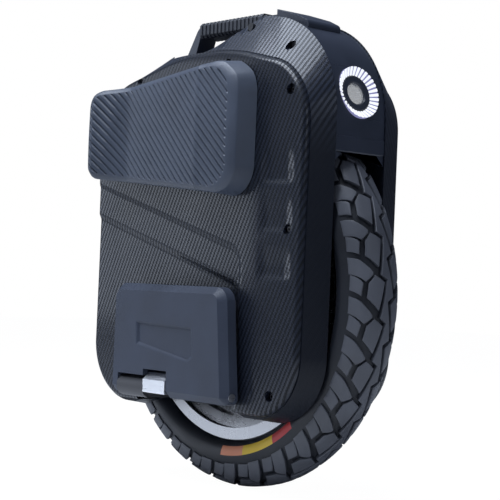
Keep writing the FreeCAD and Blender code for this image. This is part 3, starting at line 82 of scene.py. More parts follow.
def math_node(tree, operation, first, second=None):
    """A math node whose operands are sockets or numbers."""
    node = tree.nodes.new("ShaderNodeMath")
    node.operation = operation
    for index, operand in enumerate((first, second)):
        if isinstance(operand, bpy.types.NodeSocket):
            tree.links.new(operand, node.inputs[index])
        elif operand is not None:
            node.inputs[index].default_value = operand
    return node.outputs[0]


def blend_colours(tree, share, first, second):
    """A mix of two colours, each a socket or a plain colour, by a socket or number."""
    node = tree.nodes.new("ShaderNodeMix")
    node.data_type = "RGBA"
    for index, operand in ((MIX_SHARE, share), (MIX_FIRST, first), (MIX_SECOND, second)):
        if isinstance(operand, bpy.types.NodeSocket):
            tree.links.new(operand, node.inputs[index])
        elif index == MIX_SHARE:
            node.inputs[index].default_value = operand
        else:
            node.inputs[index].default_value = tuple(operand) + (1.0,)
    return node.outputs[MIX_RESULT]


def map_range(tree, value, span, result):
    """A value carried over from one range to another."""
    node = add_node(tree, "ShaderNodeMapRange", from_min=span[0], from_max=span[1], to_min=result[0],
                    to_max=result[1])
    tree.links.new(value, node.inputs["Value"])
    return node.outputs["Result"]


def bump(tree, height, strength, distance):
    """The normal that a height gives."""
    node = add_node(tree, "ShaderNodeBump", strength=strength, distance=distance)
    tree.links.new(height, node.inputs["Height"])
    return node.outputs["Normal"]


def place_parts(tree):
    """Sockets of the three coordinates of a place on the object."""
    place = add_node(tree, "ShaderNodeTexCoord")
    parts = add_node(tree, "ShaderNodeSeparateXYZ")
    tree.links.new(place.outputs["Object"], parts.inputs[0])
    return parts.outputs


def shade_of(colour, share):
    """A paler or darker shade of a colour."""
    return tuple(min(part * share, 1.0) for part in colour)


def new_group(name, inputs, outputs):
    """An empty shader node group with value inputs and typed outputs."""
    group = bpy.data.node_groups.new(name, "ShaderNodeTree")
    for label, kind, default in inputs:
        socket = group.interface.new_socket(label, in_out="INPUT", socket_type=kind)
        if default is not None:
            socket.default_value = default
    for label, kind in outputs:
        group.interface.new_socket(label, in_out="OUTPUT", socket_type=kind)
    return group, group.nodes.new("NodeGroupInput"), group.nodes.new("NodeGroupOutput")


def twill_group():
    """A two over two twill of flat tows on the object's sides, carried on over the edges."""
    group, entry, leave = new_group(
        "Twill weave",
        [("Warp", "NodeSocketFloat", 0.0017), ("Weft", "NodeSocketFloat", 0.0034)],
        [("Over", "NodeSocketFloat"), ("Height", "NodeSocketFloat")])
    parts = place_parts(group)
    off = math_node(group, "ABSOLUTE", parts["Y"])
    along = math_node(group, "SUBTRACT", parts["X"], off)
    along = math_node(group, "DIVIDE", along, entry.outputs["Warp"])
    up = math_node(group, "SUBTRACT", parts["Z"], off)
    up = math_node(group, "DIVIDE", up, entry.outputs["Weft"])
    cells = math_node(group, "SUBTRACT", math_node(group, "FLOOR", along), math_node(group, "FLOOR", up))
    repeat = math_node(group, "FLOORED_MODULO", cells, 4.0)
    over = math_node(group, "LESS_THAN", repeat, 2.0)
    edges = []
    for axis in (along, up):
        inside = math_node(group, "SUBTRACT", math_node(group, "FRACT", axis), 0.5)
        edges.append(math_node(group, "MULTIPLY", inside, inside))
    warp = math_node(group, "MULTIPLY", over, edges[0])
    weft = math_node(group, "MULTIPLY", math_node(group, "SUBTRACT", 1.0, over), edges[1])
    dip = math_node(group, "MULTIPLY", math_node(group, "ADD", warp, weft), 3.0)
    group.links.new(over, leave.inputs["Over"])
    group.links.new(math_node(group, "SUBTRACT", 1.0, dip), leave.inputs["Height"])
    return group


def grain_group():
    """Fine moulded grain with broad uneven wear."""
    group, entry, leave = new_group(
        "Moulded grain",
        [("Scale", "NodeSocketFloat", 900.0)],
        [("Grain", "NodeSocketFloat"), ("Wear", "NodeSocketFloat")])
    place = add_node(group, "ShaderNodeTexCoord")
    fine = add_node(group, "ShaderNodeTexNoise", detail=3.0, roughness=0.6)
    broad = add_node(group, "ShaderNodeTexNoise", scale=14.0, detail=4.0, roughness=0.55)
    for texture in (fine, broad):
        group.links.new(place.outputs["Object"], texture.inputs["Vector"])
    group.links.new(entry.outputs["Scale"], fine.inputs["Scale"])
    group.links.new(fine.outputs["Fac"], leave.inputs["Grain"])
    group.links.new(broad.outputs["Fac"], leave.inputs["Wear"])
    return group


def brushed_group():
    """Fine turned or brushed lines along one direction of the object."""
    group, entry, leave = new_group(
        "Brushed lines",
        [("Stretch", "NodeSocketVector", (40.0, 900.0, 900.0))],
        [("Lines", "NodeSocketFloat")])
    place = add_node(group, "ShaderNodeTexCoord")
    squeeze = add_node(group, "ShaderNodeVectorMath", operation="MULTIPLY")
    group.links.new(place.outputs["Object"], squeeze.inputs[0])
    group.links.new(entry.outputs["Stretch"], squeeze.inputs[1])
    lines = add_node(group, "ShaderNodeTexNoise", scale=1.0, detail=4.0, roughness=0.7)
    group.links.new(squeeze.outputs[0], lines.inputs["Vector"])
    group.links.new(lines.outputs["Fac"], leave.inputs["Lines"])
    return group


def use_group(tree, name, **values):
    """A node that holds a node group, with values for its inputs."""
    node = tree.nodes.new("ShaderNodeGroup")
    node.node_tree = bpy.data.node_groups[name]
    for label, value in values.items():
        node.inputs[label].default_value = value
    return node


def finish_of(slot):
    """The finished material of a slot of the record."""
    return bpy.data.materials[slot + "_finish"]


def new_material(slot, **values):
    """A material for a slot, with a principled shader and its plain inputs set by name."""
    material = bpy.data.materials.new(slot + "_finish")
    material.use_nodes = True
    tree = material.node_tree
    shader = tree.nodes["Principled BSDF"]
    for label, value in values.items():
        shader.inputs[label.replace("_", " ")].default_value = value
    return material, tree, shader


def plastic(name, colour, rough, scale=900.0, relief=0.15, shine=0.5):
    """Moulded plastic or rubber: grain in the relief, broad wear in colour and gloss."""
    material, tree, shader = new_material(name, Specular_IOR_Level=shine)
    grain = use_group(tree, "Moulded grain", Scale=scale)
    tone = map_range(tree, grain.outputs["Wear"], TONE_RANGE, WHOLE)
    tree.links.new(blend_colours(tree, tone, colour, shade_of(colour, 1.35)), shader.inputs["Base Color"])
    gloss = map_range(tree, grain.outputs["Wear"], NOISE_RANGE, rough)
    tree.links.new(gloss, shader.inputs["Roughness"])
    tree.links.new(bump(tree, grain.outputs["Grain"], relief, 0.0004), shader.inputs["Normal"])
    return material


def metal(name, colour, rough, stretch, relief=0.05):
    """Metal with fine machining lines."""
    material, tree, shader = new_material(name, Metallic=1.0)
    lines = use_group(tree, "Brushed lines", Stretch=stretch)
    tone = blend_colours(tree, lines.outputs["Lines"], shade_of(colour, 0.82), colour)
    tree.links.new(tone, shader.inputs["Base Color"])
    gloss = map_range(tree, lines.outputs["Lines"], NOISE_RANGE, rough)
    tree.links.new(gloss, shader.inputs["Roughness"])
    tree.links.new(bump(tree, lines.outputs["Lines"], relief, 0.0003), shader.inputs["Normal"])
    return material


def colour_setting(name, description, default):
    """A colour that a user can change."""
    return FloatVectorProperty(name=name, description=description, default=default, subtype="COLOR", size=3,
                               min=0.0, max=1.0)


class FinishSettings(bpy.types.PropertyGroup):
    """Colours of the finishes"""
    # The tows beneath take a darker copy of this colour as painted sheen.
    tows: colour_setting("Tows", "Raised tows of the carbon weave", (0.012, 0.016, 0.027))
    plastic: colour_setting("Plastic", "Moulded cowls, beam and bezel", (0.016, 0.02, 0.031))
    foam: colour_setting("Foam", "Leg pads", (0.032, 0.04, 0.058))
    pedal: colour_setting("Pedal", "Pedals", (0.028, 0.034, 0.05))
    grip: colour_setting("Grip", "Rubber of the grip and mats", (0.016, 0.018, 0.024))
    # Painted light: the tread tops are paler than the casing as a painted highlight, and the casing colour
    # gives the groove floors painted shade as well as the sidewalls their own dark tone.
    tread: colour_setting("Tread", "Tops of the tread blocks", (0.055, 0.058, 0.068))
    casing: colour_setting("Casing", "Side and groove floors of the tyre", (0.004, 0.005, 0.008))
    strip: colour_setting("Strip", "Middle of the strip on the tyre's side", (0.6, 0.4, 0.02))
    alloy: colour_setting("Alloy", "Bare stops and reflector cup", (0.82, 0.83, 0.85))
    rim: colour_setting("Rim", "Wheel rim", (0.5, 0.5, 0.51))
    ring: colour_setting("Light ring", "Lit segments of the headlight", (0.93, 0.96, 1.0))


def carbon(name, fade, colour):
    """A twill weave under a coat that is thicker over the tows; it comes in over a range of heights. The
    raised tows are paler than those beneath as a painted sheen, and the valleys between the tows carry
    painted shade.
    """
    material, tree, shader = new_material(name, Coat_Roughness=0.12, Specular_IOR_Level=0.18)
    weave = use_group(tree, "Twill weave")
    grain = use_group(tree, "Moulded grain", Scale=1200.0)
    seen = map_range(tree, place_parts(tree)["Z"], fade, WHOLE)
    over = math_node(tree, "MULTIPLY", weave.outputs["Over"], seen)
    # Painted sheen: the weave's pattern is real, but the raised tows are paler and the tows beneath darker
    # only to stand in for their reflections.
    tows = blend_colours(tree, over, shade_of(colour, 0.25), colour)
    # Painted shade: the colour grows darker down in the valleys between the tows.
    depth = map_range(tree, weave.outputs["Height"], (0.2, 1.0), (0.75, 0.0))
    painted_valley_shade = math_node(tree, "MULTIPLY", depth, seen)
    shaded = blend_colours(tree, painted_valley_shade, tows, shade_of(colour, 0.16))
    tree.links.new(shaded, shader.inputs["Base Color"])
    wear = map_range(tree, grain.outputs["Wear"], NOISE_RANGE, (0.38, 0.5))
    tree.links.new(wear, shader.inputs["Roughness"])
    coat = map_range(tree, over, WHOLE, (0.05, 0.55))
    tree.links.new(coat, shader.inputs["Coat Weight"])
    tree.links.new(bump(tree, weave.outputs["Height"], 0.4, 0.0004), shader.inputs["Normal"])
    return material


# The coloured strip on the tyre's right side: radius and angle round the axle from start to end, least
# distance off the middle, the shares of its length where its colour changes, and the colours of its ends.
STRIP_REACH = (0.197, 0.209)
STRIP_TURN = (-1.571, -0.881)
STRIP_OFF = -0.03
STRIP_CHANGES = (0.3, 0.72)
STRIP_ENDS = ((0.55, 0.2, 0.1), (0.4, 0.03, 0.03))


def rubber(settings):
    """Tyre rubber: a dull dark casing whose groove floors carry painted shade, tops of the tread blocks paler
    as a painted highlight, and a plain coloured strip.
    """
    material, tree, shader = new_material("tyre_rubber", Specular_IOR_Level=0.4)
    grain = use_group(tree, "Moulded grain", Scale=700.0)
    worn = map_range(tree, grain.outputs["Wear"], TONE_RANGE, WHOLE)
    # Painted light: block tops take the paler tread colour as a painted highlight; groove floors take the
    # casing colour as painted shade.
    block = add_node(tree, "ShaderNodeAttribute", attribute_name="block")
    casing = blend_colours(tree, worn, settings.casing, shade_of(settings.casing, 1.8))
    tops = blend_colours(tree, worn, settings.tread, shade_of(settings.tread, 1.5))
    colour = blend_colours(tree, block.outputs["Fac"], casing, tops)
    parts = place_parts(tree)
    height = math_node(tree, "SUBTRACT", parts["Z"], AXLE.z)
    squares = [math_node(tree, "MULTIPLY", side, side) for side in (parts["X"], height)]
    reach = math_node(tree, "SQRT", math_node(tree, "ADD", *squares))
    turn = math_node(tree, "ARCTAN2", height, parts["X"])
    inside = math_node(tree, "LESS_THAN", parts["Y"], STRIP_OFF)
    for value, (low, high) in ((reach, STRIP_REACH), (turn, STRIP_TURN)):
        inside = math_node(tree, "MULTIPLY", inside, math_node(tree, "GREATER_THAN", value, low))
        inside = math_node(tree, "MULTIPLY", inside, math_node(tree, "LESS_THAN", value, high))
    along = map_range(tree, turn, STRIP_TURN, WHOLE)
    past = [math_node(tree, "GREATER_THAN", along, change) for change in STRIP_CHANGES]
    strip = blend_colours(tree, past[0], STRIP_ENDS[0], settings.strip)
    strip = blend_colours(tree, past[1], strip, STRIP_ENDS[1])
    tree.links.new(blend_colours(tree, inside, colour, strip), shader.inputs["Base Color"])
    gloss = map_range(tree, grain.outputs["Wear"], NOISE_RANGE, (0.4, 0.58))
    tree.links.new(gloss, shader.inputs["Roughness"])
    tree.links.new(bump(tree, grain.outputs["Grain"], 0.3, 0.0004), shader.inputs["Normal"])
    return material


def glowing(name, colour, strength):
    """A glowing surface of speckled plastic: the lit diffusers, and the reflector's flutes, whose glow is a
    painted reflection.
    """
    material, tree, shader = new_material(name, Emission_Strength=strength, Roughness=0.3)
    grain = use_group(tree, "Moulded grain", Scale=600.0)
    tone = blend_colours(tree, grain.outputs["Grain"], shade_of(colour, 0.8), colour)
    shade = blend_colours(tree, 0.75, tone, (0.02, 0.02, 0.03))
    tree.links.new(shade, shader.inputs["Base Color"])
    tree.links.new(tone, shader.inputs["Emission Color"])
    return material


def clear(name, colour, rough, body):
    """Clear or tinted plastic, seen through but for the share of its body."""
    material, tree, shader = new_material(name, IOR=1.49)
    grain = use_group(tree, "Moulded grain", Scale=300.0)
    tone = blend_colours(tree, grain.outputs["Wear"], shade_of(colour, 0.85), colour)
    tree.links.new(tone, shader.inputs["Base Color"])
    gloss = map_range(tree, grain.outputs["Wear"], NOISE_RANGE, (rough, rough * 2))
    tree.links.new(gloss, shader.inputs["Roughness"])
    share = map_range(tree, grain.outputs["Wear"], NOISE_RANGE, (body, body * 1.2))
    tree.links.new(share, shader.inputs["Alpha"])
    return material


def make_materials(settings):
    """The materials of the record's slots, and those of single pieces."""
    twill_group()
    grain_group()
    brushed_group()
    carbon("carbon_shell", (-1.0, -0.9), settings.tows)
    carbon("wall_carbon", (0.42, 0.52), shade_of(settings.tows, 1.7))
    rubber(settings)
    plastic("dark_plastic", settings.plastic, (0.3, 0.42), shine=0.45)
    plastic("pad_foam", settings.foam, (0.38, 0.5), 1100.0, 0.3, 0.45)
    plastic("pedal_grey", settings.pedal, (0.45, 0.56), 1500.0, 0.12, 0.25)
    plastic("grip_rubber", settings.grip, (0.5, 0.65), 1200.0, 0.25)
    plastic("button_plastic", (0.02, 0.022, 0.028), (0.35, 0.45))
    plastic("pack_wrap", (0.03, 0.09, 0.22), (0.25, 0.35), 300.0)
    plastic("board", (0.012, 0.09, 0.035), (0.3, 0.45), 500.0)
    plastic("black_screw", (0.006, 0.006, 0.008), (0.35, 0.5), 1500.0)
    metal("rim_metal", settings.rim, (0.22, 0.36), (30.0, 300.0, 30.0), 0.01)
    metal("bare_alloy", settings.alloy, (0.25, 0.4), (60.0, 400.0, 400.0), 0.02)
    metal("hanger_metal", (0.09, 0.09, 0.095), (0.4, 0.55), (500.0, 500.0, 500.0))
    metal("steel", (0.5, 0.5, 0.52), (0.25, 0.38), (700.0, 80.0, 700.0))
    metal("copper", (0.72, 0.32, 0.16), (0.3, 0.42), (400.0, 60.0, 400.0))
    glowing("light_ring", settings.ring, 1.0)
    glowing("ring_back", (0.26, 0.26, 0.48), 0.8)
    # The reflector's flutes glow as a painted reflection of bright chrome.
    glowing("lamp_chrome", (0.7, 0.7, 0.68), 0.4)
    clear("clear_lens", (0.9, 0.92, 0.95), 0.04, 0.12)
    clear("red_lens", (0.5, 0.01, 0.012), 0.12, 0.8)


def dress_nodes():
    """Give each CAD node the material of its slot in the record."""
    slots = {slot["slot"] for slot in frame["record"]["materials"]}
    for node in frame["nodes"].values():
        wanted = [item.material.name.split(".")[0] for item in node.material_slots if item.material]
        name = next((item for item in wanted if item in slots), None)
        if name is None:
            raise ValueError(f"{node.name} has no slot among {wanted}")
        for item in node.material_slots:
            item.material = finish_of(name)


# Shaping helpers

def activate(piece):
    """Make one object the only selected one."""
    bpy.ops.object.select_all(action="DESELECT")
    piece.select_set(True)
    bpy.context.view_layer.objects.active = piece


def pick(piece, kind, test):
    """In edit mode, select the vertices, edges or faces that pass a test."""
    bpy.ops.mesh.select_mode(type=kind)
    bpy.ops.mesh.select_all(action="DESELECT")
    mesh = bmesh.from_edit_mesh(piece.data)
    items = {"VERT": mesh.verts, "EDGE": mesh.edges, "FACE": mesh.faces}[kind]
    found = 0
    for item in items:
        if test(item):
            item.select_set(True)
            found += 1
    mesh.select_flush_mode()
    bmesh.update_edit_mesh(piece.data)
    if not found:
        raise RuntimeError(f"nothing to select on {piece.name}")


def apply_modifier(piece, kind, **values):
    """Add a modifier to the active object and apply it."""
    modifier = piece.modifiers.new(kind.title(), kind)
    for name, value in values.items():
        setattr(modifier, name, value)
    bpy.ops.object.modifier_apply(modifier=modifier.name)


def join(pieces, name):
    """One object from several, under a new name."""
    activate(pieces[0])
    for piece in pieces:
        piece.select_set(True)
    bpy.ops.object.join()
    joined = bpy.context.object
    joined.name = name
    return joined


def own_copy(piece, name):
    """A copy of an object with a mesh of its own."""
    copy = bpy.data.objects.new(name, piece.data.copy())
    bpy.context.scene.collection.objects.link(copy)
    return copy


def mirrored_copy(piece, name):
    """The same piece for the other side of the wheel."""
    copy = own_copy(piece, name)
    for vertex in copy.data.vertices:
        vertex.co.y = -vertex.co.y
    copy.data.flip_normals()
    return copy


def node_copy(node, name):
    """A copy of a CAD node's mesh with its triangles merged into whole faces."""
    piece = own_copy(frame["nodes"][node], name)
    activate(piece)
    bpy.ops.object.mode_set(mode="EDIT")
    bpy.ops.mesh.select_all(action="SELECT")
    bpy.ops.mesh.remove_doubles(threshold=MERGE)
    bpy.ops.mesh.dissolve_limited(angle_limit=math.radians(0.05))
    bpy.ops.object.mode_set(mode="OBJECT")
    return piece


def soften(piece, width, sharpness=30.0):
    """Round the sharp edges of a piece a little."""
    activate(piece)
    bpy.ops.object.mode_set(mode="EDIT")
    bpy.ops.mesh.select_mode(type="EDGE")
    bpy.ops.mesh.select_all(action="DESELECT")
    bpy.ops.mesh.edges_select_sharp(sharpness=math.radians(sharpness))
    bpy.ops.mesh.bevel(offset=width, segments=2, affect="EDGES", clamp_overlap=True)
    bpy.ops.object.mode_set(mode="OBJECT")


def finish_piece(piece, slot, body, *nodes, smooth=32.0):
    """Merge, face outwards, smooth, dress and place a finished piece."""
    activate(piece)
    bpy.ops.object.mode_set(mode="EDIT")
    bpy.ops.mesh.select_all(action="SELECT")
    bpy.ops.mesh.remove_doubles(threshold=MERGE)
    bpy.ops.mesh.normals_make_consistent(inside=False)
    bpy.ops.object.mode_set(mode="OBJECT")
    bpy.ops.object.transform_apply(location=True, rotation=True, scale=True)
    bpy.ops.object.shade_smooth_by_angle(angle=math.radians(smooth))
    apply_modifier(piece, "WEIGHTED_NORMAL", keep_sharp=True)
    piece.data.materials.clear()
    piece.data.materials.append(finish_of(slot))
    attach(piece, body)
    if nodes:
        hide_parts(*nodes)


# Tyre

# Half of the tread surface: distance off the middle and radius, in millimetres.
CROWN = [(0.0, 250.0), (8.36, 250.0), (22.8, 244.15), (33.44, 232.9), (38.0, 210.4), (42.56, 187.9)]
# How far to each side of a place the surface is averaged, and the step over which its slope is taken.
CROWN_SOFT = 3.0
CROWN_STEP = 0.1
# The lower side of a tyre half, from the widest point over the bead to the inner wall.
SIDEWALL = [
    (37.9, 209.0), (36.9, 203.0), (34.5, 197.75), (29.0, 192.5), (23.5, 190.5), (23.5, 178.3),
    (17.5, 178.3), (17.5, 189.0), (27.0, 198.0), (30.0, 208.0), (26.5, 221.0), (20.0, 231.0), (9.0, 238.0),
]
# Places off the middle where the groove floor is taken, and the steps round the axle.
CASING_OFFS = [0.0, 6.0, 12.0, 18.0, 23.0, 28.0, 31.0, 34.0, 36.5]
CASING_STEPS = 180
# Share of the groove depth at a distance off the middle, running out towards the sidewall.
FLOOR_SHARES = [(0.0, 1.0), (28.0, 1.0), (37.0, 0.3), (60.0, 0.3)]
# Repeats of the tread, the degrees of one, where the first starts, and how far the far side is turned
# against the near one.
PITCHES = 30
PITCH = 360.0 / PITCHES
APEX = 7.4
STAGGER = PITCH / 2
# Length of a degree round the crown.
DEGREE = math.radians(1) * AXLE.z
# Outlines of the tread blocks of one pitch: degrees from the apex, and millimetres off the middle.
TREAD_BLOCKS = [
    [(-0.25, -17.2), (-2.3, -4.2), (-10.7, -11.8), (-7.0, -27.2), (-2.6, -25.4)],
    [(-2.6, -28.0), (-7.0, -30.0), (-4.8, -36.9), (0.7, -36.5)],
    [(-6.0, -37.0), (-7.9, -30.0), (-11.6, -18.5), (-12.4, -18.5), (-14.6, -27.0), (-11.9, -37.0)],
]
# Edge of the zigzag rib along one pitch: degrees from the apex, and millimetres off the middle.
RIB_EDGE = [(-1.7, -1.8), (-12.4, -11.2), (-13.7, -1.8)]
# How far the tread pieces draw back from the middle of each groove, in millimetres.
GROOVE_EASE = 0.9
RIB_EASE = 1.4 * GROOVE_EASE
# Degrees along one pitch where the rib is taken.
RIB_STEPS = [-1.7, -3.5, -5.1, -6.4, -7.7, -9.3, -10.9, -12.4]


def polyline(points, place):
    """Value of a line of points at a place."""
    for (left, first), (right, last) in zip(points, points[1:]):
        if place <= right:
            return first + (last - first) * (place - left) / (right - left)
    return points[-1][1]


def crown_radius(off):
    """Radius of the tread surface, with its corners eased, in millimetres."""
    shares = [-1.0, -0.66, -0.33, 0.0, 0.33, 0.66, 1.0]
    total = sum(polyline(CROWN, abs(off + share * CROWN_SOFT)) for share in shares)
    return total / len(shares)


def over_tread(off, height):
    """Distance off the middle and radius of a point at a height over the tread surface."""
    slope = crown_radius(off + CROWN_STEP) - crown_radius(off - CROWN_STEP)
    stretch = math.hypot(2 * CROWN_STEP, slope)
    return off - slope / stretch * height, crown_radius(off) + 2 * CROWN_STEP / stretch * height


def tread_point(degrees, off, height):
    """The point at an angle round the axle, a distance off the middle and a height over the tread surface."""
    off, radius = over_tread(off, height)
    turn = math.radians(degrees)
    return AXLE + Vector((radius * math.cos(turn), off, radius * math.sin(turn))) * MM


def groove_floor(off, depth):
    """Height of the groove floor, which runs out towards the sidewall."""
    return -depth * polyline(FLOOR_SHARES, abs(off))


def rib_edge(degrees):
    """Edge of the rib at an angle, millimetres off the middle."""
    first = RIB_EDGE[0][0]
    turned = first - ((first - degrees) % PITCH)
    return polyline([(-place, off) for place, off in RIB_EDGE], -turned)


def mark_tops_for_painted_light(piece, heights, depth):
    """Mark the tops of tread pieces, which take a painted highlight while the groove floors take painted
    shade.
    """
    marks = piece.data.attributes.new("block", "FLOAT", "POINT")
    for mark, height in zip(marks.data, heights):
        mark.value = 1.0 if height > -depth / 2 else 0.0


def add_block(corners, depth, bevel):
    """A tread block on the flat, its top split so that it can follow the crown."""
    bpy.ops.mesh.primitive_circle_add(vertices=len(corners), radius=0.01, fill_type="NGON")
    block = bpy.context.object
    flat = Outline([(degrees * DEGREE / MM, off, GROOVE_EASE) for degrees, off in corners])
    for vertex, corner in zip(block.data.vertices, flat.centres):
        vertex.co = Vector((corner.x, corner.y, 0.0)) * MM
    bpy.ops.object.mode_set(mode="EDIT")
    bpy.ops.mesh.select_all(action="SELECT")
    bpy.ops.mesh.poke()
    bpy.ops.mesh.subdivide(number_cuts=2)
    bpy.ops.mesh.extrude_region_move(TRANSFORM_OT_translate={"value": (0, 0, -depth)})
    pick(block, "FACE", lambda face: all(vertex.co.z > -depth / 2 for vertex in face.verts))
    bpy.ops.mesh.region_to_loop()
    bpy.ops.mesh.bevel(offset=bevel, segments=2, affect="EDGES")
    bpy.ops.object.mode_set(mode="OBJECT")
    return block


def add_casing(depth):
    """The tyre's section, turned round the axle."""
    half = [over_tread(off, groove_floor(off, depth)) for off in CASING_OFFS] + SIDEWALL
    section = half + [(-off, radius) for off, radius in reversed(half[1:])]
    bpy.ops.mesh.primitive_circle_add(vertices=len(section), radius=0.01)
    casing = bpy.context.object
    for vertex, (off, radius) in zip(casing.data.vertices, section):
        vertex.co = AXLE + Vector((radius, off, 0.0)) * MM
    bpy.ops.object.mode_set(mode="EDIT")
    bpy.ops.mesh.select_all(action="SELECT")
    bpy.ops.mesh.spin(steps=CASING_STEPS, angle=2 * math.pi, center=AXLE, axis=(0, 1, 0))
    bpy.ops.object.mode_set(mode="OBJECT")
    return casing


def add_rib(depth, bevel):
    """The zigzag rib round the middle of the tread."""
    columns = PITCHES * len(RIB_STEPS)
    bpy.ops.mesh.primitive_grid_add(x_subdivisions=columns, y_subdivisions=8, size=1.0)
    rib = bpy.context.object
    soft = bevel / MM
    heights = []
    for index, vertex in enumerate(rib.data.vertices):
        row, column = divmod(index, columns + 1)
        lap, step = divmod(column, len(RIB_STEPS))
        degrees = RIB_STEPS[step] - PITCH * lap
        near = rib_edge(degrees) + RIB_EASE
        far = -rib_edge(degrees + STAGGER) - RIB_EASE
        middle = (near + far) / 2
        places = [
            (near, -depth - 1.0), (near, -soft), (near + soft, 0.0), ((near + middle) / 2, 0.0),
            (middle, 0.0),
            ((far + middle) / 2, 0.0), (far - soft, 0.0), (far, -soft), (far, -depth - 1.0),
        ]
        off, height = places[row]
        heights.append(height)
        vertex.co = tread_point(APEX + degrees, off, height)
    mark_tops_for_painted_light(rib, heights, depth)
    return rib


class TyreSettings(bpy.types.PropertyGroup):
    """Sizes of the tread"""
    depth: FloatProperty(name="Groove depth", description="Depth of the tread grooves", default=0.0055,
                         unit="LENGTH")
    bevel: FloatProperty(name="Block bevel", description="Rounding of the tread blocks", default=0.0008,
                         unit="LENGTH")


class UNICYCLE_OT_tyre(bpy.types.Operator):
    """Model the tyre with its tread blocks, rib and sidewalls"""
    bl_idname = "unicycle.tyre"
    bl_label = "Build tyre"

    def execute(self, context):
        settings = context.scene.unicycle_tyre
        bpy.ops.object.select_all(action="DESELECT")
        blocks = [add_block(corners, settings.depth + MM, settings.bevel) for corners in TREAD_BLOCKS]
        near = join(blocks, "near_blocks")
        bpy.ops.object.transform_apply(location=True, rotation=True, scale=True)
        apply_modifier(near, "ARRAY", count=PITCHES, use_relative_offset=False, use_constant_offset=True,
                       constant_offset_displace=(-PITCH * DEGREE, 0, 0))
        mark_tops_for_painted_light(near, [vertex.co.z for vertex in near.data.vertices], settings.depth)
        far = mirrored_copy(near, "far_blocks")
        for piece, turn in ((near, APEX), (far, APEX + STAGGER)):
            for vertex in piece.data.vertices:
                flat = vertex.co
                vertex.co = tread_point(flat.x / DEGREE + turn, flat.y / MM, flat.z / MM)
        casing = add_casing(settings.depth / MM)
        mark_tops_for_painted_light(casing, [-settings.depth] * len(casing.data.vertices), settings.depth)
        rib = add_rib(settings.depth / MM, settings.bevel)
        tyre = join([casing, near, far, rib], "block_tread_tyre")
        finish_piece(tyre, "tyre_rubber", "wheel", "tyre")
        return {"FINISHED"}


# Rounded outlines of the side pieces

# Search along a line through an outline, in millimetres: places tried first, least depth inside, farthest
# end and number of halvings.
SPAN_PLACES = [step * 2.0 for step in range(-200, 170)]
SPAN_LEAST = 0.8
SPAN_FARTHEST = 500.0
SPAN_HALVINGS = 36


class Outline:
    """A convex outline with rounded corners, each given as place along, height and radius in millimetres."""

    def __init__(self, corners):
        self.radii = [radius for along, up, radius in corners]
        self.sides = []
        for (left, low, _), (right, high, _) in zip(corners, corners[1:] + corners[:1]):
            out = Vector((high - low, left - right)).normalized()
            self.sides.append((out, out.dot(Vector((left, low)))))
        self.centres = []
        for index, radius in enumerate(self.radii):
            (first, near), (second, far) = self.sides[index - 1], self.sides[index]
            near -= radius
            far -= radius
            turn = first.cross(second)
            centre = Vector((near * second.y - far * first.y, first.x * far - second.x * near))
            self.centres.append(centre / turn)

    def distance(self, along, up):
        """Distance outside the outline, less than nothing inside it."""
        point = Vector((along, up))
        worst = max(out.dot(point) - reach for out, reach in self.sides)
        for index, centre in enumerate(self.centres):
            arm = point - centre
            if self.sides[index - 1][0].cross(arm) >= 0 and arm.cross(self.sides[index][0]) >= 0:
                worst = max(worst, arm.length - self.radii[index])
        return worst

    def outward(self, along, up):
        """Direction square to the outline, away from its middle."""
        step = 0.05
        slope = Vector((self.distance(along + step, up) - self.distance(along - step, up),
                        self.distance(along, up + step) - self.distance(along, up - step)))
        return slope.normalized()

    def span(self, line, inset):
        """First and last place on a line that lie inside the outline by an inset, or nothing."""
        def inside(place):
            return self.distance(*line(place)) + inset
        middle = min(SPAN_PLACES, key=inside)
        if inside(middle) > -SPAN_LEAST:
            return None
        ends = []
        for way in (-1.0, 1.0):
            near, far = 0.0, SPAN_FARTHEST
            for _ in range(SPAN_HALVINGS):
                half = (near + far) / 2
                if inside(middle + way * half) < 0:
                    near = half
                else:
                    far = half
            ends.append(middle + way * near)
        return ends


def ease(share):
    """A soft step from nothing to one."""
    share = min(max(share, 0.0), 1.0)
    return share * share * (3 - 2 * share)


def grow_border(piece, outline, steps):
    """Extrude the border of a face step by step and close it behind.

    Each step gives a shift in the plane and a new level from the old level and the outward direction.
    """
    bpy.ops.object.mode_set(mode="EDIT")
    bpy.ops.mesh.select_all(action="SELECT")
    bpy.ops.mesh.region_to_loop()
    for step in steps:
        bpy.ops.mesh.extrude_edges_move()
        mesh = bmesh.from_edit_mesh(piece.data)
        for vertex in mesh.verts:
            if vertex.select:
                place = (vertex.co - AXLE) / MM
                shift, level = step(place.y, outline.outward(place.x, place.z))
                vertex.co = Vector((place.x + shift.x, level, place.z + shift.y)) * MM + AXLE
        bmesh.update_edit_mesh(piece.data)
    bpy.ops.mesh.edge_face_add()
    bpy.ops.mesh.select_all(action="SELECT")
    bpy.ops.mesh.remove_doubles(threshold=MERGE / 10)
    bpy.ops.mesh.normals_make_consistent(inside=False)
    bpy.ops.object.mode_set(mode="OBJECT")


# Leg pads

class PadSettings(bpy.types.PropertyGroup):
    """Sizes of a pad's channels"""
    pitch: FloatProperty(name="Channel pitch", description="Distance between the channels, square to them",
                         default=0.0078, unit="LENGTH")
    channel: FloatProperty(name="Channel depth", description="Depth of the channels", default=0.0024,
                           unit="LENGTH")
    half_width: FloatProperty(name="Channel half width", description="Half the width of a channel",
                              default=0.0013, unit="LENGTH")
    swell: FloatProperty(name="Swell", description="Rise of the foam between two channels", default=0.0005,
                         unit="LENGTH")


# Corners of a pad over the axle with the radius of each, in millimetres.
PAD_CORNERS = [(-194.0, 146.0, 18.0), (81.0, 120.6, 36.0), (81.0, 291.2, 40.0), (-194.0, 262.0, 24.0)]
# Distance of a pad's base off the middle, and width of its bevel.
PAD_BASE = 86.1
PAD_BEVEL = 7.0
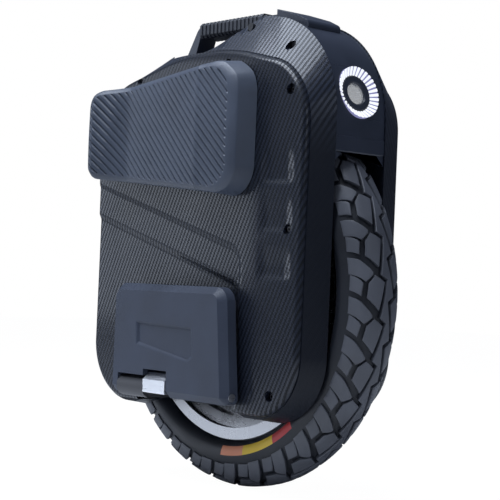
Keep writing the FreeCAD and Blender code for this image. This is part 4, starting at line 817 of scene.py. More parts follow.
# Face of a pad: distance along it and distance off the middle, in millimetres.
PAD_FACE = [(-131.0, 110.8), (13.0, 117.2), (20.0, 118.2), (26.0, 117.0), (81.0, 112.0), (200.0, 101.0)]
# The raised lip at the rear: front of its crest, length of its fall, distance off the middle and bend of
# the fall.
PAD_CREST = -181.0
PAD_FALL = 50.0
PAD_LIP = 134.2
PAD_BEND = 1.3
# The face swells between a lower and an upper line, each given at its rear and front end.
SWELL_ALONG = (-194.0, 98.0)
SWELL_LOW = (146.0, 119.0)
SWELL_HIGH = (262.0, 293.0)
PAD_SWELL = 1.5
# Rounded bevel: growth of the outline and drop of the face, in millimetres.
PAD_EDGE = [(0.9, 0.15), (2.6, 1.5), (2.6, 2.7), (0.9, 2.0)]
# Slope of the front side, extra breadth of the front bevel as a share, and how the other sides draw in.
PAD_DRAFT = 9.0
PAD_NOSE = 1.1
PAD_DRAW = -3.0
# Rows of vertices: shares of half a channel, shares of the pitch between two channels, and the channels.
CHANNEL_SHARES = [-1.0, -0.5, 0.0, 0.5, 1.0]
BETWEEN_SHARES = [0.32, 0.5, 0.68]
CHANNELS = range(-6, 40)
PAD_COLUMNS = 44
# The channels run out over a margin, at most this long and this share of the row.
PAD_MARGIN = 2.5
PAD_MARGIN_SHARE = 0.15


def pad_face(along, up):
    """Distance of the pad's face off the middle."""
    share = (along - SWELL_ALONG[0]) / (SWELL_ALONG[1] - SWELL_ALONG[0])
    low, high = (rear + (front - rear) * share for rear, front in (SWELL_LOW, SWELL_HIGH))
    swell = PAD_SWELL * (1 - (2 * (up - low) / (high - low) - 1) ** 2)
    if along < PAD_CREST + PAD_FALL:
        fall = min(max((along - PAD_CREST) / PAD_FALL, 0.0), 1.0)
        return PAD_LIP + swell - (PAD_LIP - PAD_FACE[0][1]) * (1 - (1 - fall) ** PAD_BEND)
    return polyline(PAD_FACE, along) + swell


def diagonal_point(across, along):
    """A point of the pad from its place across the channels and along them."""
    root = math.sqrt(0.5)
    return (across + along) * root, (across - along) * root


def pad_step(growth, drop):
    """One step of the pad's rounded bevel, which is broader in front."""
    return lambda level, out: (out * growth * (1 + PAD_NOSE * max(out.x, 0.0)), level + drop)


def pad_wall(level, out):
    """The pad's side from its bevel to its base: sloped outwards in front, drawn in elsewhere."""
    return out * (PAD_DRAFT * out.x if out.x > 0 else PAD_DRAW), -PAD_BASE


def pad_rows(settings, outline):
    """Places across the channels, each with its distance from the nearest channel, in millimetres."""
    pitch = settings.pitch / MM
    half = settings.half_width / MM
    offsets = [share * half for share in CHANNEL_SHARES] + [share * pitch for share in BETWEEN_SHARES]
    rows = []
    for index in CHANNELS:
        for offset in offsets:
            across = index * pitch + offset
            span = outline.span(lambda along: diagonal_point(across, along), PAD_BEVEL)
            if span:
                rows.append((across, min(offset, pitch - offset, key=abs), span))
    return rows


def add_pad(settings):
    """A foam pad with diagonal channels, a raised rear lip and a rounded bevel down to its base."""
    outline = Outline(PAD_CORNERS)
    rows = pad_rows(settings, outline)
    columns = PAD_COLUMNS
    bpy.ops.mesh.primitive_grid_add(x_subdivisions=columns, y_subdivisions=len(rows) - 1, size=1.0)
    piece = bpy.context.object
    half = settings.half_width / MM
    crest = settings.pitch / MM / 2
    for index, vertex in enumerate(piece.data.vertices):
        row, column = divmod(index, columns + 1)
        across, offset, (start, end) = rows[row]
        margin = min(PAD_MARGIN, (end - start) * PAD_MARGIN_SHARE)
        if column in (0, columns):
            place = start if column == 0 else end
        else:
            place = start + margin + (end - start - 2 * margin) * (column - 1) / (columns - 2)
        along, up = diagonal_point(across, place)
        fade = min(min(place - start, end - place) / PAD_MARGIN, 1.0)
        if abs(offset) < half:
            height = -settings.channel / MM * (1 - (offset / half) ** 2)
        else:
            height = settings.swell / MM * math.sin(math.pi / 2 * (abs(offset) - half) / (crest - half))
        vertex.co = Vector((along, -pad_face(along, up) - height * fade, up)) * MM + AXLE
    grow_border(piece, outline, [pad_step(*edge) for edge in PAD_EDGE] + [pad_wall])
    return piece


class UNICYCLE_OT_leg_pads(bpy.types.Operator):
    """Model the two foam leg pads"""
    bl_idname = "unicycle.leg_pads"
    bl_label = "Build leg pads"

    def execute(self, context):
        bpy.ops.object.select_all(action="DESELECT")
        right = add_pad(context.scene.unicycle_pad)
        right.name = "foam_pad_right"
        left = mirrored_copy(right, "foam_pad_left")
        for piece, side in ((right, "right"), (left, "left")):
            finish_piece(piece, "pad_foam", "chassis", f"leg_pad_{side}", smooth=40.0)
        return {"FINISHED"}


# Shells, covers and cowls

# Outline of a side cover inside its seam: place along, height over the axle and corner radius.
COVER_CORNERS = [(-234.5, -150.5, 78.5), (181.5, -150.5, 78.5), (181.5, 273.7, 83.5), (-14.0, 319.5, 378.5),
                 (-234.5, 265.7, 83.5)]
# Distance of a cover's face and of its seat off the middle, and the radius and steps of its rounded rim.
COVER_FACE = 85.5
COVER_SEAT = 73.7
COVER_EDGE = 6.0
COVER_EDGE_STEPS = 5
# Grid of a cover's face: height of a row, the rows from below and the columns.
COVER_CELL = 2.3
COVER_ROWS = range(-70, 145)
COVER_COLUMNS = 180
# Falls of the face towards the rim, the top and the front: depth, start and reach.
RIM_FALL = (0.6, -40.0, 40.0)
TOP_FALL = (7.0, 240.0, 75.0)
FRONT_FALL = (4.0, 80.0, 103.0)
COVER_REAR = -236.0
# Heights of the two diagonal mouldings at the rear edge and at the front edge of the pedal pocket.
RIDGE = (143.0, 53.0)
POCKET = (104.0, 14.0)
POCKET_FRONT = 78.0
POCKET_CORNER = 16.0
# Widths of the steps, and depth and half width of the groove along the upper one.
RIDGE_RUN = 3.5
POCKET_RUN = 9.0
RIDGE_GROOVE = (0.7, 1.8)
# Upper and lower ends of the moulded segments near the front edge.
SEGMENTS = [(190.0, 142.0), (131.0, 84.0), (72.0, 26.0)]
SEGMENT_REAR, SEGMENT_FRONT = 108.0, 168.0
# Lengths over which a segment runs out at its sides and at its lower end.
SEGMENT_SIDE = 15.0
SEGMENT_FOOT = 10.0
# Screw places on a cover: place along and height over the axle.
COVER_SCREWS = [(-148.0, 282.0), (34.0, 288.0), (155.0, 248.0), (158.0, 80.0), (140.0, -121.0),
                (28.0, -128.0)]
# Head of a cover screw: radius, height and bevel, and the inset, half width and depth of its hexagon socket.
HEAD_RADIUS, HEAD_HEIGHT, HEAD_BEVEL = 3.4, 2.4, 0.5
SOCKET_INSET, SOCKET_REACH, SOCKET_DEPTH = 0.9, 1.6, 1.5
# The arch that cuts off the lower edge of a cover: place of its middle, radius and top.
ARCH_MIDDLE = -28.0
ARCH_RADIUS = 384.0
ARCH_TOP = -135.0
# The notch for the hanger: rear, front, top and height.
NOTCH = (-131.0, -23.0, -104.0, 80.0)
# Lengths of the cutting bodies along the axle.
WELL_CUTTER = 16.0
WIDE_CUTTER = 60.0


class ShellSettings(bpy.types.PropertyGroup):
    """Sizes of the mouldings and screw wells of the covers"""
    ridge: FloatProperty(name="Ridge", description="Step of the upper diagonal moulding", default=0.002,
                         unit="LENGTH")
    pocket: FloatProperty(name="Pocket", description="Step into the pocket behind the pedal", default=0.004,
                          unit="LENGTH")
    segment: FloatProperty(name="Segment", description="Depth of the moulded segments", default=0.0032,
                           unit="LENGTH")
    well_radius: FloatProperty(name="Well radius", description="Radius of the screw wells", default=0.0068,
                               unit="LENGTH")
    well_depth: FloatProperty(name="Well depth", description="Depth of the screw wells", default=0.009,
                              unit="LENGTH")


def inside_moulding(along, up, heights):
    """Distance inside the area under a diagonal moulding and behind the pocket's front edge."""
    rear, front = heights
    slope = (rear - front) / (POCKET_FRONT - COVER_REAR)
    under = (front + slope * (POCKET_FRONT - along) - up) / math.hypot(1.0, slope)
    behind = POCKET_FRONT - along
    if min(under, behind) < POCKET_CORNER:
        room = [max(POCKET_CORNER - side, 0.0) for side in (under, behind)]
        return POCKET_CORNER - math.hypot(*room)
    return min(under, behind)


def cover_step(first, last):
    """One step of a cover's rounded rim, between two angles, ending at the seat."""
    growth = COVER_EDGE * (math.sin(last) - math.sin(first))
    left = math.cos(last) / math.cos(first)
    return lambda level, out: (out * growth, (level + COVER_SEAT) * left - COVER_SEAT)


def fall(place, depth, start, reach):
    """How far a face has fallen at a place, ever faster from its start."""
    return depth * (max(place - start, 0.0) / reach) ** 2


def cover_face(along, up, rim, settings):
    """Distance of a cover's face off the middle, at a place whose distance from the rim is given."""
    face = COVER_FACE - fall(rim, *RIM_FALL) - fall(up, *TOP_FALL) - fall(along, *FRONT_FALL)
    ridge = inside_moulding(along, up, RIDGE)
    groove, half_width = RIDGE_GROOVE
    face -= settings.ridge / MM * ease(ridge / RIDGE_RUN) + groove * math.exp(-(ridge / half_width) ** 2)
    face -= settings.pocket / MM * ease(inside_moulding(along, up, POCKET) / POCKET_RUN)
    side = ease(min(along - SEGMENT_REAR, SEGMENT_FRONT - along) / SEGMENT_SIDE)
    for high, low in SEGMENTS:
        if up > low:
            depth = ease((high - up) / (high - low))
        else:
            depth = 1 - ease((low - up) / SEGMENT_FOOT)
        face -= settings.segment / MM * side * depth
    return face


def add_cover(settings):
    """A side cover with its mouldings and rounded rim."""
    outline = Outline(COVER_CORNERS)
    rows = []
    for index in COVER_ROWS:
        up = index * COVER_CELL
        span = outline.span(lambda along: (along, up), COVER_EDGE)
        if span:
            rows.append((up, span))
    columns = COVER_COLUMNS
    bpy.ops.mesh.primitive_grid_add(x_subdivisions=columns, y_subdivisions=len(rows) - 1, size=1.0)
    cover = bpy.context.object
    for index, vertex in enumerate(cover.data.vertices):
        row, column = divmod(index, columns + 1)
        up, (start, end) = rows[row]
        along = start + (end - start) * column / columns
        face = cover_face(along, up, outline.distance(along, up), settings)
        vertex.co = Vector((along, -face, up)) * MM + AXLE
    turns = [math.radians(90 / COVER_EDGE_STEPS * step) for step in range(COVER_EDGE_STEPS + 1)]
    grow_border(cover, outline, [cover_step(first, last) for first, last in zip(turns, turns[1:])])
    return cover


def add_cutters(settings):
    """Bodies to take away from a cover: screw wells, the arch and the notch for the hanger."""
    cutters = []
    for along, up in COVER_SCREWS:
        place = Vector((along, -COVER_FACE - WELL_CUTTER / 2 + settings.well_depth / MM, up)) * MM
        bpy.ops.mesh.primitive_cylinder_add(vertices=24, radius=settings.well_radius, depth=WELL_CUTTER * MM,
                                            rotation=(math.pi / 2, 0, 0), location=AXLE + place)
        cutters.append(bpy.context.object)
    place = Vector((ARCH_MIDDLE, -COVER_FACE, ARCH_TOP - ARCH_RADIUS)) * MM
    bpy.ops.mesh.primitive_cylinder_add(vertices=256, radius=ARCH_RADIUS * MM, depth=WIDE_CUTTER * MM,
                                        rotation=(math.pi / 2, 0, 0), location=AXLE + place)
    cutters.append(bpy.context.object)
    rear, front, top, height = NOTCH
    place = Vector(((rear + front) / 2, -COVER_FACE, top - height / 2)) * MM
    bpy.ops.mesh.primitive_cube_add(size=MM, location=AXLE + place)
    notch = bpy.context.object
    notch.scale = (front - rear, WIDE_CUTTER, height)
    bpy.ops.object.transform_apply(location=True, rotation=True, scale=True)
    cutters.append(notch)
    return cutters


class UNICYCLE_OT_shells(bpy.types.Operator):
    """Finish the inner shells, the side covers and the cowls with soft edges and sunk screw wells"""
    bl_idname = "unicycle.shells"
    bl_label = "Build shells"

    def execute(self, context):
        bpy.ops.object.select_all(action="DESELECT")
        settings = context.scene.unicycle_shell
        right = add_cover(settings)
        right.name = "moulded_cover_right"
        for cutter in add_cutters(settings):
            activate(right)
            apply_modifier(right, "BOOLEAN", operation="DIFFERENCE", object=cutter, solver="EXACT")
            bpy.data.objects.remove(cutter)
        left = mirrored_copy(right, "moulded_cover_left")
        for name, cover in (("right", right), ("left", left)):
            finish_piece(cover, "carbon_shell", "chassis", f"side_cover_{name}")
            shell = node_copy(f"inner_shell_{name}", f"moulded_wall_{name}")
            soften(shell, MM)
            finish_piece(shell, "carbon_shell", "chassis", f"inner_shell_{name}")
            shell.data.materials[0] = finish_of("wall_carbon")
        for node in ("front_cowl", "rear_cowl", "top_cap"):
            piece = node_copy(node, f"moulded_{node}")
            soften(piece, 0.8 * MM)
            finish_piece(piece, "dark_plastic", "chassis", node)
        return {"FINISHED"}


class UNICYCLE_OT_screws(bpy.types.Operator):
    """Model one socket screw and set it in each well of the covers"""
    bl_idname = "unicycle.screws"
    bl_label = "Build cover screws"

    def execute(self, context):
        bpy.ops.object.select_all(action="DESELECT")
        depth = context.scene.unicycle_shell.well_depth / MM
        bpy.ops.mesh.primitive_cylinder_add(vertices=24, radius=HEAD_RADIUS * MM, depth=HEAD_HEIGHT * MM)
        model = context.object
        bpy.ops.object.mode_set(mode="EDIT")
        pick(model, "FACE", lambda face: face.normal.z > 0.9)
        bpy.ops.mesh.bevel(offset=HEAD_BEVEL * MM, segments=2, affect="EDGES")
        pick(model, "FACE", lambda face: face.normal.z > 0.99)
        bpy.ops.mesh.inset(thickness=SOCKET_INSET * MM)
        mesh = bmesh.from_edit_mesh(model.data)
        for vertex in mesh.verts:
            if vertex.select:
                turn = math.atan2(vertex.co.y, vertex.co.x)
                corner = (turn % (math.pi / 3)) - math.pi / 6
                reach = SOCKET_REACH * MM / math.cos(corner)
                vertex.co.x, vertex.co.y = reach * math.cos(turn), reach * math.sin(turn)
        bmesh.update_edit_mesh(model.data)
        bpy.ops.mesh.extrude_region_move(TRANSFORM_OT_translate={"value": (0, 0, -SOCKET_DEPTH * MM)})
        bpy.ops.object.mode_set(mode="OBJECT")
        for name, side in (("right", -1), ("left", 1)):
            heads = []
            for along, up in COVER_SCREWS:
                head = own_copy(model, "screw_head")
                turn = Matrix.Rotation(-side * math.pi / 2, 4, "X")
                place = AXLE + Vector((along, side * (COVER_FACE - depth + HEAD_HEIGHT / 2), up)) * MM
                head.data.transform(Matrix.Translation(place) @ turn)
                heads.append(head)
            finish_piece(join(heads, f"cover_screws_{name}"), "black_screw", "chassis")
        bpy.data.objects.remove(model)
        return {"FINISHED"}


# Pedals

# The recess in a pedal's underside, in millimetres from the axle: its rear and front end, the height of
# its middle, the pedal's face and the floor of the recess.
RECESS_REAR = -92.0
RECESS_FRONT = 26.0
RECESS_MIDDLE = -64.0
PEDAL_FACE = 113.5
RECESS_FLOOR = 110.5
# Room round the recess in which its vertices are looked for, and the heights of its floor and of its rim.
RECESS_ROOM = 4.0
FLOOR_HEIGHTS = (-110.0, -20.0)
RIM_HEIGHTS = (-95.0, -35.0)
RIM_BEVEL = 2.2
# The front corner leans back from this place on, and more from the foot upwards: start and length of each.
LEAN_ALONG = (40.0, 30.0)
LEAN_UP = (-127.0, 110.0)


class PedalSettings(bpy.types.PropertyGroup):
    """Sizes of the pedals' finish"""
    slope: FloatProperty(name="Slope", description="How far the walls of the recess lean in at its floor",
                         default=0.0025, unit="LENGTH")
    lean: FloatProperty(name="Lean", description="How far the upper front corner leans back", default=0.012,
                        unit="LENGTH")


def in_recess(place, heights):
    """Whether a place lies within the length of the recess and between two heights."""
    along = RECESS_REAR - RECESS_ROOM < place.x < RECESS_FRONT + RECESS_ROOM
    return along and heights[0] < place.z < heights[1]


def lean_share(place):
    """How much of the lean of the upper front corner a place takes."""
    up = min(max((place.z - LEAN_UP[0]) / LEAN_UP[1], 0.0), 1.0)
    return min(up * max((place.x - LEAN_ALONG[0]) / LEAN_ALONG[1], 0.0), 1.0)


def is_recess_rim(edge):
    """Whether an edge is on the rim of the recess in a pedal's underside."""
    ends = [(vertex.co - AXLE) / MM for vertex in edge.verts]
    middle = (ends[0] + ends[1]) / 2
    on_face = all(abs(abs(end.y) - PEDAL_FACE) < 0.05 for end in ends)
    return on_face and in_recess(middle, RIM_HEIGHTS)


class UNICYCLE_OT_pedals(bpy.types.Operator):
    """Finish the pedals, with an evenly deep recess in the underside"""
    bl_idname = "unicycle.pedals"
    bl_label = "Build pedals"

    def execute(self, context):
        settings = context.scene.unicycle_pedal
        for name in ("right", "left"):
            pedal = node_copy(f"pedal_{name}", f"bevelled_pedal_{name}")
            for vertex in pedal.data.vertices:
                place = (vertex.co - AXLE) / MM
                if in_recess(place, FLOOR_HEIGHTS) and abs(abs(place.y) - RECESS_FLOOR) < 0.1:
                    in_front = place.x > (RECESS_REAR + RECESS_FRONT) / 2
                    vertex.co.z += settings.slope if place.z < RECESS_MIDDLE else -settings.slope
                    vertex.co.x += -settings.slope if in_front else settings.slope
                vertex.co.x -= settings.lean * lean_share(place)
            activate(pedal)
            bpy.ops.object.mode_set(mode="EDIT")
            pick(pedal, "EDGE", is_recess_rim)
            bpy.ops.mesh.bevel(offset=RIM_BEVEL * MM, segments=3, affect="EDGES", clamp_overlap=False)
            bpy.ops.object.mode_set(mode="OBJECT")
            soften(pedal, 1.1 * MM)
            finish_piece(pedal, "pedal_grey", f"pedal_{name}", f"pedal_{name}")
        return {"FINISHED"}


# Handle and headlight

class UNICYCLE_OT_handle(bpy.types.Operator):
    """Finish the ribbed grip and its beam"""
    bl_idname = "unicycle.handle"
    bl_label = "Build handle"

    def execute(self, context):
        grip = node_copy("handle_grip", "ribbed_grip")
        soften(grip, 0.6 * MM)
        finish_piece(grip, "grip_rubber", "chassis", "handle_grip")
        beam = node_copy("handle_beam", "grip_beam")
        soften(beam, MM)
        finish_piece(beam, "dark_plastic", "chassis", "handle_beam")
        return {"FINISHED"}


class LampSettings(bpy.types.PropertyGroup):
    """Counts of the headlight's parts"""
    segments: IntProperty(name="Segments", description="Segments of the light ring", default=32, min=8)
    flutes: IntProperty(name="Flutes", description="Flutes of the reflector", default=6, min=3)


# Middle of the lamp's face, and its tilt upwards.
LAMP_CENTRE = Vector((0.18757, 0.0, 0.501744))
LAMP_TILT = math.radians(15)
# Sections of the turned lamp pieces: radius and depth along the lamp's axis, in millimetres.
RING_OUTER = (32.6, 1.3)
RING_INNER = (22.9, -5.0)
CONE = [(32.7, -6.0), (32.7, -0.3), (22.7, -6.6), (22.0, -7.4)]
BEZEL = [(13.7, -8.0), (22.8, -8.0), (22.8, -5.2), (21.6, -4.4), (15.2, -5.0), (13.7, -6.4)]
LENS = [(0.0, -7.6), (13.6, -7.6), (13.6, -6.9), (9.0, -6.5), (0.0, -6.2)]
CUP = [(13.6, -8.0), (15.0, -8.0), (15.0, -21.0), (13.6, -21.0)]
LAMP_STEPS = 80
# Segments of the ring: share of the room that each takes, thickness and bevel.
SEGMENT_SHARE = 0.58
SEGMENT_THICKNESS = 2.2
SEGMENT_BEVEL = 0.6
# Flutes of the reflector: radius, cells along each, share of the pitch that each covers, depth in the
# middle, rise up and down and to the sides, depth of the lower and upper edge, and thickness.
FLUTE_RADIUS = 13.5
FLUTE_CELLS = 6
FLUTE_SHARE = 0.98
FLUTE_DEPTH = -12.5
FLUTE_RISE = (2.0, 1.5)
FLUTE_EDGES = (-0.4, 1.4)
FLUTE_THICKNESS = 0.8


def turned(section, name):
    """A turned lamp piece from its section."""
    bpy.ops.mesh.primitive_circle_add(vertices=len(section), radius=0.01)
    piece = bpy.context.object
    piece.name = name
    for vertex, (radius, depth) in zip(piece.data.vertices, section):
        vertex.co = Vector((radius, 0, depth)) * MM
    bpy.ops.object.mode_set(mode="EDIT")
    bpy.ops.mesh.select_all(action="SELECT")
    bpy.ops.mesh.spin(steps=LAMP_STEPS, angle=2 * math.pi, center=(0, 0, 0), axis=(0, 0, 1))
    bpy.ops.object.mode_set(mode="OBJECT")
    return piece


def to_lamp(piece):
    """Turn a piece modelled upright into the lamp's axis and put it in place."""
    turn = Matrix.Rotation(math.pi / 2 - LAMP_TILT, 4, "Y")
    piece.data.transform(Matrix.Translation(LAMP_CENTRE) @ turn)


def add_segments(settings):
    """The light segments of the ring, modelled upright."""
    bpy.ops.mesh.primitive_cube_add(size=2.0)
    ring = bpy.context.object
    step = math.pi / settings.segments
    for vertex in ring.data.vertices:
        radius, depth = RING_OUTER if vertex.co.x > 0 else RING_INNER
        wide = radius * math.sin(step) * SEGMENT_SHARE
        level = depth if vertex.co.z > 0 else depth - SEGMENT_THICKNESS
        vertex.co = Vector((radius, vertex.co.y * wide, level)) * MM
    bpy.ops.object.mode_set(mode="EDIT")
    pick(ring, "FACE", lambda face: face.normal.z > 0.6)
    bpy.ops.mesh.bevel(offset=SEGMENT_BEVEL * MM, segments=2, affect="EDGES")
    bpy.ops.mesh.select_all(action="SELECT")
    bpy.ops.mesh.spin(steps=settings.segments, dupli=True, angle=2 * math.pi, center=(0, 0, 0),
                      axis=(0, 0, 1))
    bpy.ops.object.mode_set(mode="OBJECT")
    ring.name = "segment_ring"
    return ring


def add_flutes(settings):
    """The flutes of the reflector, one above the other, modelled upright."""
    rows = 2 * settings.flutes
    bpy.ops.mesh.primitive_grid_add(x_subdivisions=FLUTE_CELLS, y_subdivisions=rows - 1, size=2.0)
    flutes = bpy.context.object
    flutes.name = "fluted_reflector"
    for index, vertex in enumerate(flutes.data.vertices):
        row, column = divmod(index, FLUTE_CELLS + 1)
        flute, upper = divmod(row, 2)
        height = -1 + 2 * (flute + FLUTE_SHARE * upper) / settings.flutes
        width = math.sqrt(max(1 - height ** 2, 0.0)) * (2 * column / FLUTE_CELLS - 1)
        rise = FLUTE_RISE[0] * height ** 2 + FLUTE_RISE[1] * width ** 2
        depth = FLUTE_DEPTH + rise + FLUTE_EDGES[upper]
        vertex.co = Vector((height * FLUTE_RADIUS, width * FLUTE_RADIUS, depth)) * MM
    apply_modifier(flutes, "SOLIDIFY", thickness=FLUTE_THICKNESS * MM)
    return flutes


class UNICYCLE_OT_headlight(bpy.types.Operator):
    """Model the segmented light ring, the bezel, the lens and the fluted reflector"""
    bl_idname = "unicycle.headlight"
    bl_label = "Build headlight"

    def execute(self, context):
        settings = context.scene.unicycle_lamp
        bpy.ops.object.select_all(action="DESELECT")
        ring = add_segments(settings)
        to_lamp(ring)
        finish_piece(ring, "light_ring", "chassis", "headlight_ring")
        for section, name, slot, nodes in ((CONE, "ring_cone", "light_ring", ()),
                                           (BEZEL, "lamp_bezel", "dark_plastic", ("headlight_bezel",)),
                                           (LENS, "lamp_lens", "clear_lens", ("headlight_lens",)),
                                           (CUP, "reflector_cup", "bare_alloy", ())):
            piece = turned(section, name)
            to_lamp(piece)
            finish_piece(piece, slot, "chassis", *nodes)
        bpy.data.objects["ring_cone"].data.materials[0] = finish_of("ring_back")
        flutes = add_flutes(settings)
        to_lamp(flutes)
        finish_piece(flutes, "bare_alloy", "chassis", "headlight_reflector", smooth=12.0)
        # The flutes glow as a painted reflection of chrome.
        flutes.data.materials[0] = finish_of("lamp_chrome")
        return {"FINISHED"}


# Stage

class StageSettings(bpy.types.PropertyGroup):
    """Place and lens of the camera"""
    azimuth: FloatProperty(name="Azimuth", description="Camera turn round the object, in degrees",
                           default=49.01)
    elevation: FloatProperty(name="Elevation", description="Camera height angle, in degrees", default=-1.26)
    roll: FloatProperty(name="Roll", description="Camera roll, in degrees", default=2.47)
    distance: FloatProperty(name="Distance", description="Camera distance from its target", default=1.911,
                            unit="LENGTH")
    target: FloatVectorProperty(name="Target", description="Point the camera looks at",
                                default=(0.0029, 0.0, 0.307), size=3, subtype="TRANSLATION", unit="LENGTH")
    lens: FloatProperty(name="Lens", description="Focal length in millimetres", default=105.1, min=1.0)
    shift: FloatProperty(name="Shift", description="Sideways shift of the lens", default=-0.0056)


def aim_camera(settings):
    """Place the camera round its target."""
    data = bpy.data.cameras.new("camera")
    camera = bpy.data.objects.new("camera", data)
    bpy.context.scene.collection.objects.link(camera)
    turn = math.radians(settings.azimuth)
    lift = math.radians(settings.elevation)
    lean = math.radians(settings.roll)
    back = Vector((math.sin(turn) * math.cos(lift), -math.cos(turn) * math.cos(lift), math.sin(lift)))
    right = Vector((math.cos(turn), math.sin(turn), 0))
    up = back.cross(right)
    level = right * math.cos(lean) + up * math.sin(lean)
    upright = up * math.cos(lean) - right * math.sin(lean)
    camera.matrix_world = Matrix((level, upright, back)).transposed().to_4x4()
    camera.location = Vector(settings.target) + back * settings.distance
    data.lens = settings.lens
    data.shift_x = settings.shift
    bpy.context.scene.camera = camera


# Colour of the lights, and each light's name, place, target, size and power.
COOL = (0.84, 0.92, 1.05)
LIGHTS = (
    ("top_light", (-0.2, -0.6, 1.9), (0, 0, 0.4), (1.5, 1.5), 62),
    ("rear_light", (-2.9, -1.7, 0.9), (0, 0, 0.35), (1.1, 1.6), 15),
    ("window_light", (-2.23, -2.02, 0.44), (0.06, -0.085, 0.33), (0.3, 0.34), 0.8),
    ("side_light", (-0.6, -2.8, 1.3), (0, 0, 0.35), (2.4, 2.0), 4),
    ("front_light", (2.4, -0.4, 1.2), (0, 0, 0.3), (1.2, 1.2), 5),
)
# Brightness and tint of the surroundings, except as the camera sees them.
WORLD_STRENGTH = 0.12
WORLD_TINT = (0.75, 0.88, 1.25)
# Share of the floor that the camera sees as plain white, the strength of that white, and the floor's size
# and level.
FLOOR_WHITE = 0.93
FLOOR_GLOW = 1.06
FLOOR_SIZE = 12.0
FLOOR_LEVEL = -0.0005


def add_light(name, place, target, size, power):
    """A rectangular light that shines on a target."""
    bpy.ops.object.light_add(type="AREA", location=place)
    light = bpy.context.object
    light.name = name
    light.data.shape = "RECTANGLE"
    light.data.size, light.data.size_y = size
    light.data.energy = power
    light.data.color = COOL
    light.rotation_mode = "QUATERNION"
    light.rotation_quaternion = (Vector(target) - Vector(place)).to_track_quat("-Z", "Y")


def floor_material():
    """White to the camera apart from the object's own soft shadow."""
    material = bpy.data.materials.new("floor_white")
    material.use_nodes = True
    tree = material.node_tree
    shader = tree.nodes["Principled BSDF"]
    shader.inputs["Roughness"].default_value = 0.9
    grain = use_group(tree, "Moulded grain", Scale=40.0)
    tone = blend_colours(tree, grain.outputs["Wear"], (0.8, 0.8, 0.8), (0.84, 0.84, 0.84))
    tree.links.new(tone, shader.inputs["Base Color"])
    glow = add_node(tree, "ShaderNodeEmission", strength=FLOOR_GLOW)
    path = tree.nodes.new("ShaderNodeLightPath")
    mix = tree.nodes.new("ShaderNodeMixShader")
    tree.links.new(math_node(tree, "MULTIPLY", path.outputs["Is Camera Ray"], FLOOR_WHITE), mix.inputs[0])
    tree.links.new(shader.outputs[0], mix.inputs[1])
    tree.links.new(glow.outputs[0], mix.inputs[2])
    tree.links.new(mix.outputs[0], tree.nodes["Material Output"].inputs["Surface"])
    return material


class UNICYCLE_OT_stage(bpy.types.Operator):
    """Lay the floor, light the object and aim the camera"""
    bl_idname = "unicycle.stage"
    bl_label = "Build stage"

    def execute(self, context):
        bpy.ops.object.select_all(action="DESELECT")
        bpy.ops.mesh.primitive_plane_add(size=FLOOR_SIZE, location=(0, 0, FLOOR_LEVEL))
        floor = context.object
        floor.name = "floor"
        floor.data.materials.append(floor_material())
        for light in LIGHTS:
            add_light(*light)
        world = bpy.data.worlds.new("studio")
        world.use_nodes = True
        tree = world.node_tree
        path = tree.nodes.new("ShaderNodeLightPath")
        shown = map_range(tree, path.outputs["Is Camera Ray"], WHOLE, (WORLD_STRENGTH, 1.0))
        tint = blend_colours(tree, path.outputs["Is Camera Ray"], WORLD_TINT, (1.0, 1.0, 1.0))
        tree.links.new(tint, tree.nodes["Background"].inputs["Color"])
        tree.links.new(shown, tree.nodes["Background"].inputs["Strength"])
        context.scene.world = world
        aim_camera(context.scene.unicycle_stage)
        context.scene.view_settings.view_transform = "Standard"
        return {"FINISHED"}


class UNICYCLE_OT_finish_nodes(bpy.types.Operator):
    """Make the materials and give the CAD nodes theirs"""
    bl_idname = "unicycle.finish_nodes"
    bl_label = "Finish the rigid pieces"

    def execute(self, context):
        make_materials(context.scene.unicycle_finish)
        dress_nodes()
        return {"FINISHED"}


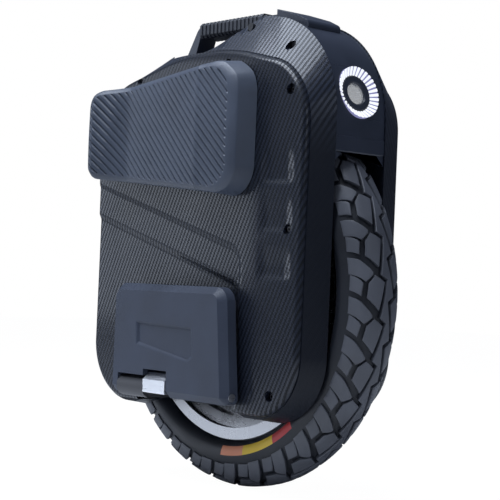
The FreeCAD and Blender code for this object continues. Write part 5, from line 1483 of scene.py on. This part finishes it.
class UNICYCLE_PT_builder(bpy.types.Panel):
    """Lists the pieces in the order they are built"""
    bl_idname = "UNICYCLE_PT_builder"
    bl_label = "Electric unicycle"
    bl_space_type = "VIEW_3D"
    bl_region_type = "UI"
    bl_category = "Unicycle"

    def draw(self, context):
        scene = context.scene
        for name, steps in BUILD_ORDER:
            box = self.layout.box()
            settings = getattr(scene, name) if name else None
            if settings:
                for label in settings.__annotations__:
                    box.prop(settings, label)
            for step in steps:
                box.operator(f"unicycle.{step}")


BUILD_ORDER = (
    ("unicycle_finish", ("finish_nodes",)),
    ("unicycle_tyre", ("tyre",)),
    ("unicycle_pad", ("leg_pads",)),
    ("unicycle_shell", ("shells", "screws")),
    ("unicycle_pedal", ("pedals",)),
    ("", ("handle",)),
    ("unicycle_lamp", ("headlight",)),
    ("unicycle_stage", ("stage",)),
)
SETTINGS = {
    "unicycle_finish": FinishSettings,
    "unicycle_tyre": TyreSettings,
    "unicycle_pad": PadSettings,
    "unicycle_shell": ShellSettings,
    "unicycle_pedal": PedalSettings,
    "unicycle_lamp": LampSettings,
    "unicycle_stage": StageSettings,
}
CLASSES = (
    FinishSettings,
    TyreSettings,
    PadSettings,
    ShellSettings,
    PedalSettings,
    LampSettings,
    StageSettings,
    UNICYCLE_OT_finish_nodes,
    UNICYCLE_OT_tyre,
    UNICYCLE_OT_leg_pads,
    UNICYCLE_OT_shells,
    UNICYCLE_OT_screws,
    UNICYCLE_OT_pedals,
    UNICYCLE_OT_handle,
    UNICYCLE_OT_headlight,
    UNICYCLE_OT_stage,
    UNICYCLE_PT_builder,
)


def register():
    """Make the operators, the panel and the settings known to Blender."""
    for entry in CLASSES:
        bpy.utils.register_class(entry)
    for name, group in SETTINGS.items():
        setattr(bpy.types.Scene, name, PointerProperty(type=group))


def unregister():
    """Take the settings, the panel and the operators away again."""
    for name in SETTINGS:
        delattr(bpy.types.Scene, name)
    for entry in reversed(CLASSES):
        bpy.utils.unregister_class(entry)


def main():
    """Build the unicycle."""
    register()
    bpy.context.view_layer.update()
    for name, steps in BUILD_ORDER:
        for step in steps:
            getattr(bpy.ops.unicycle, step)()


if __name__ == "__main__":
    main()
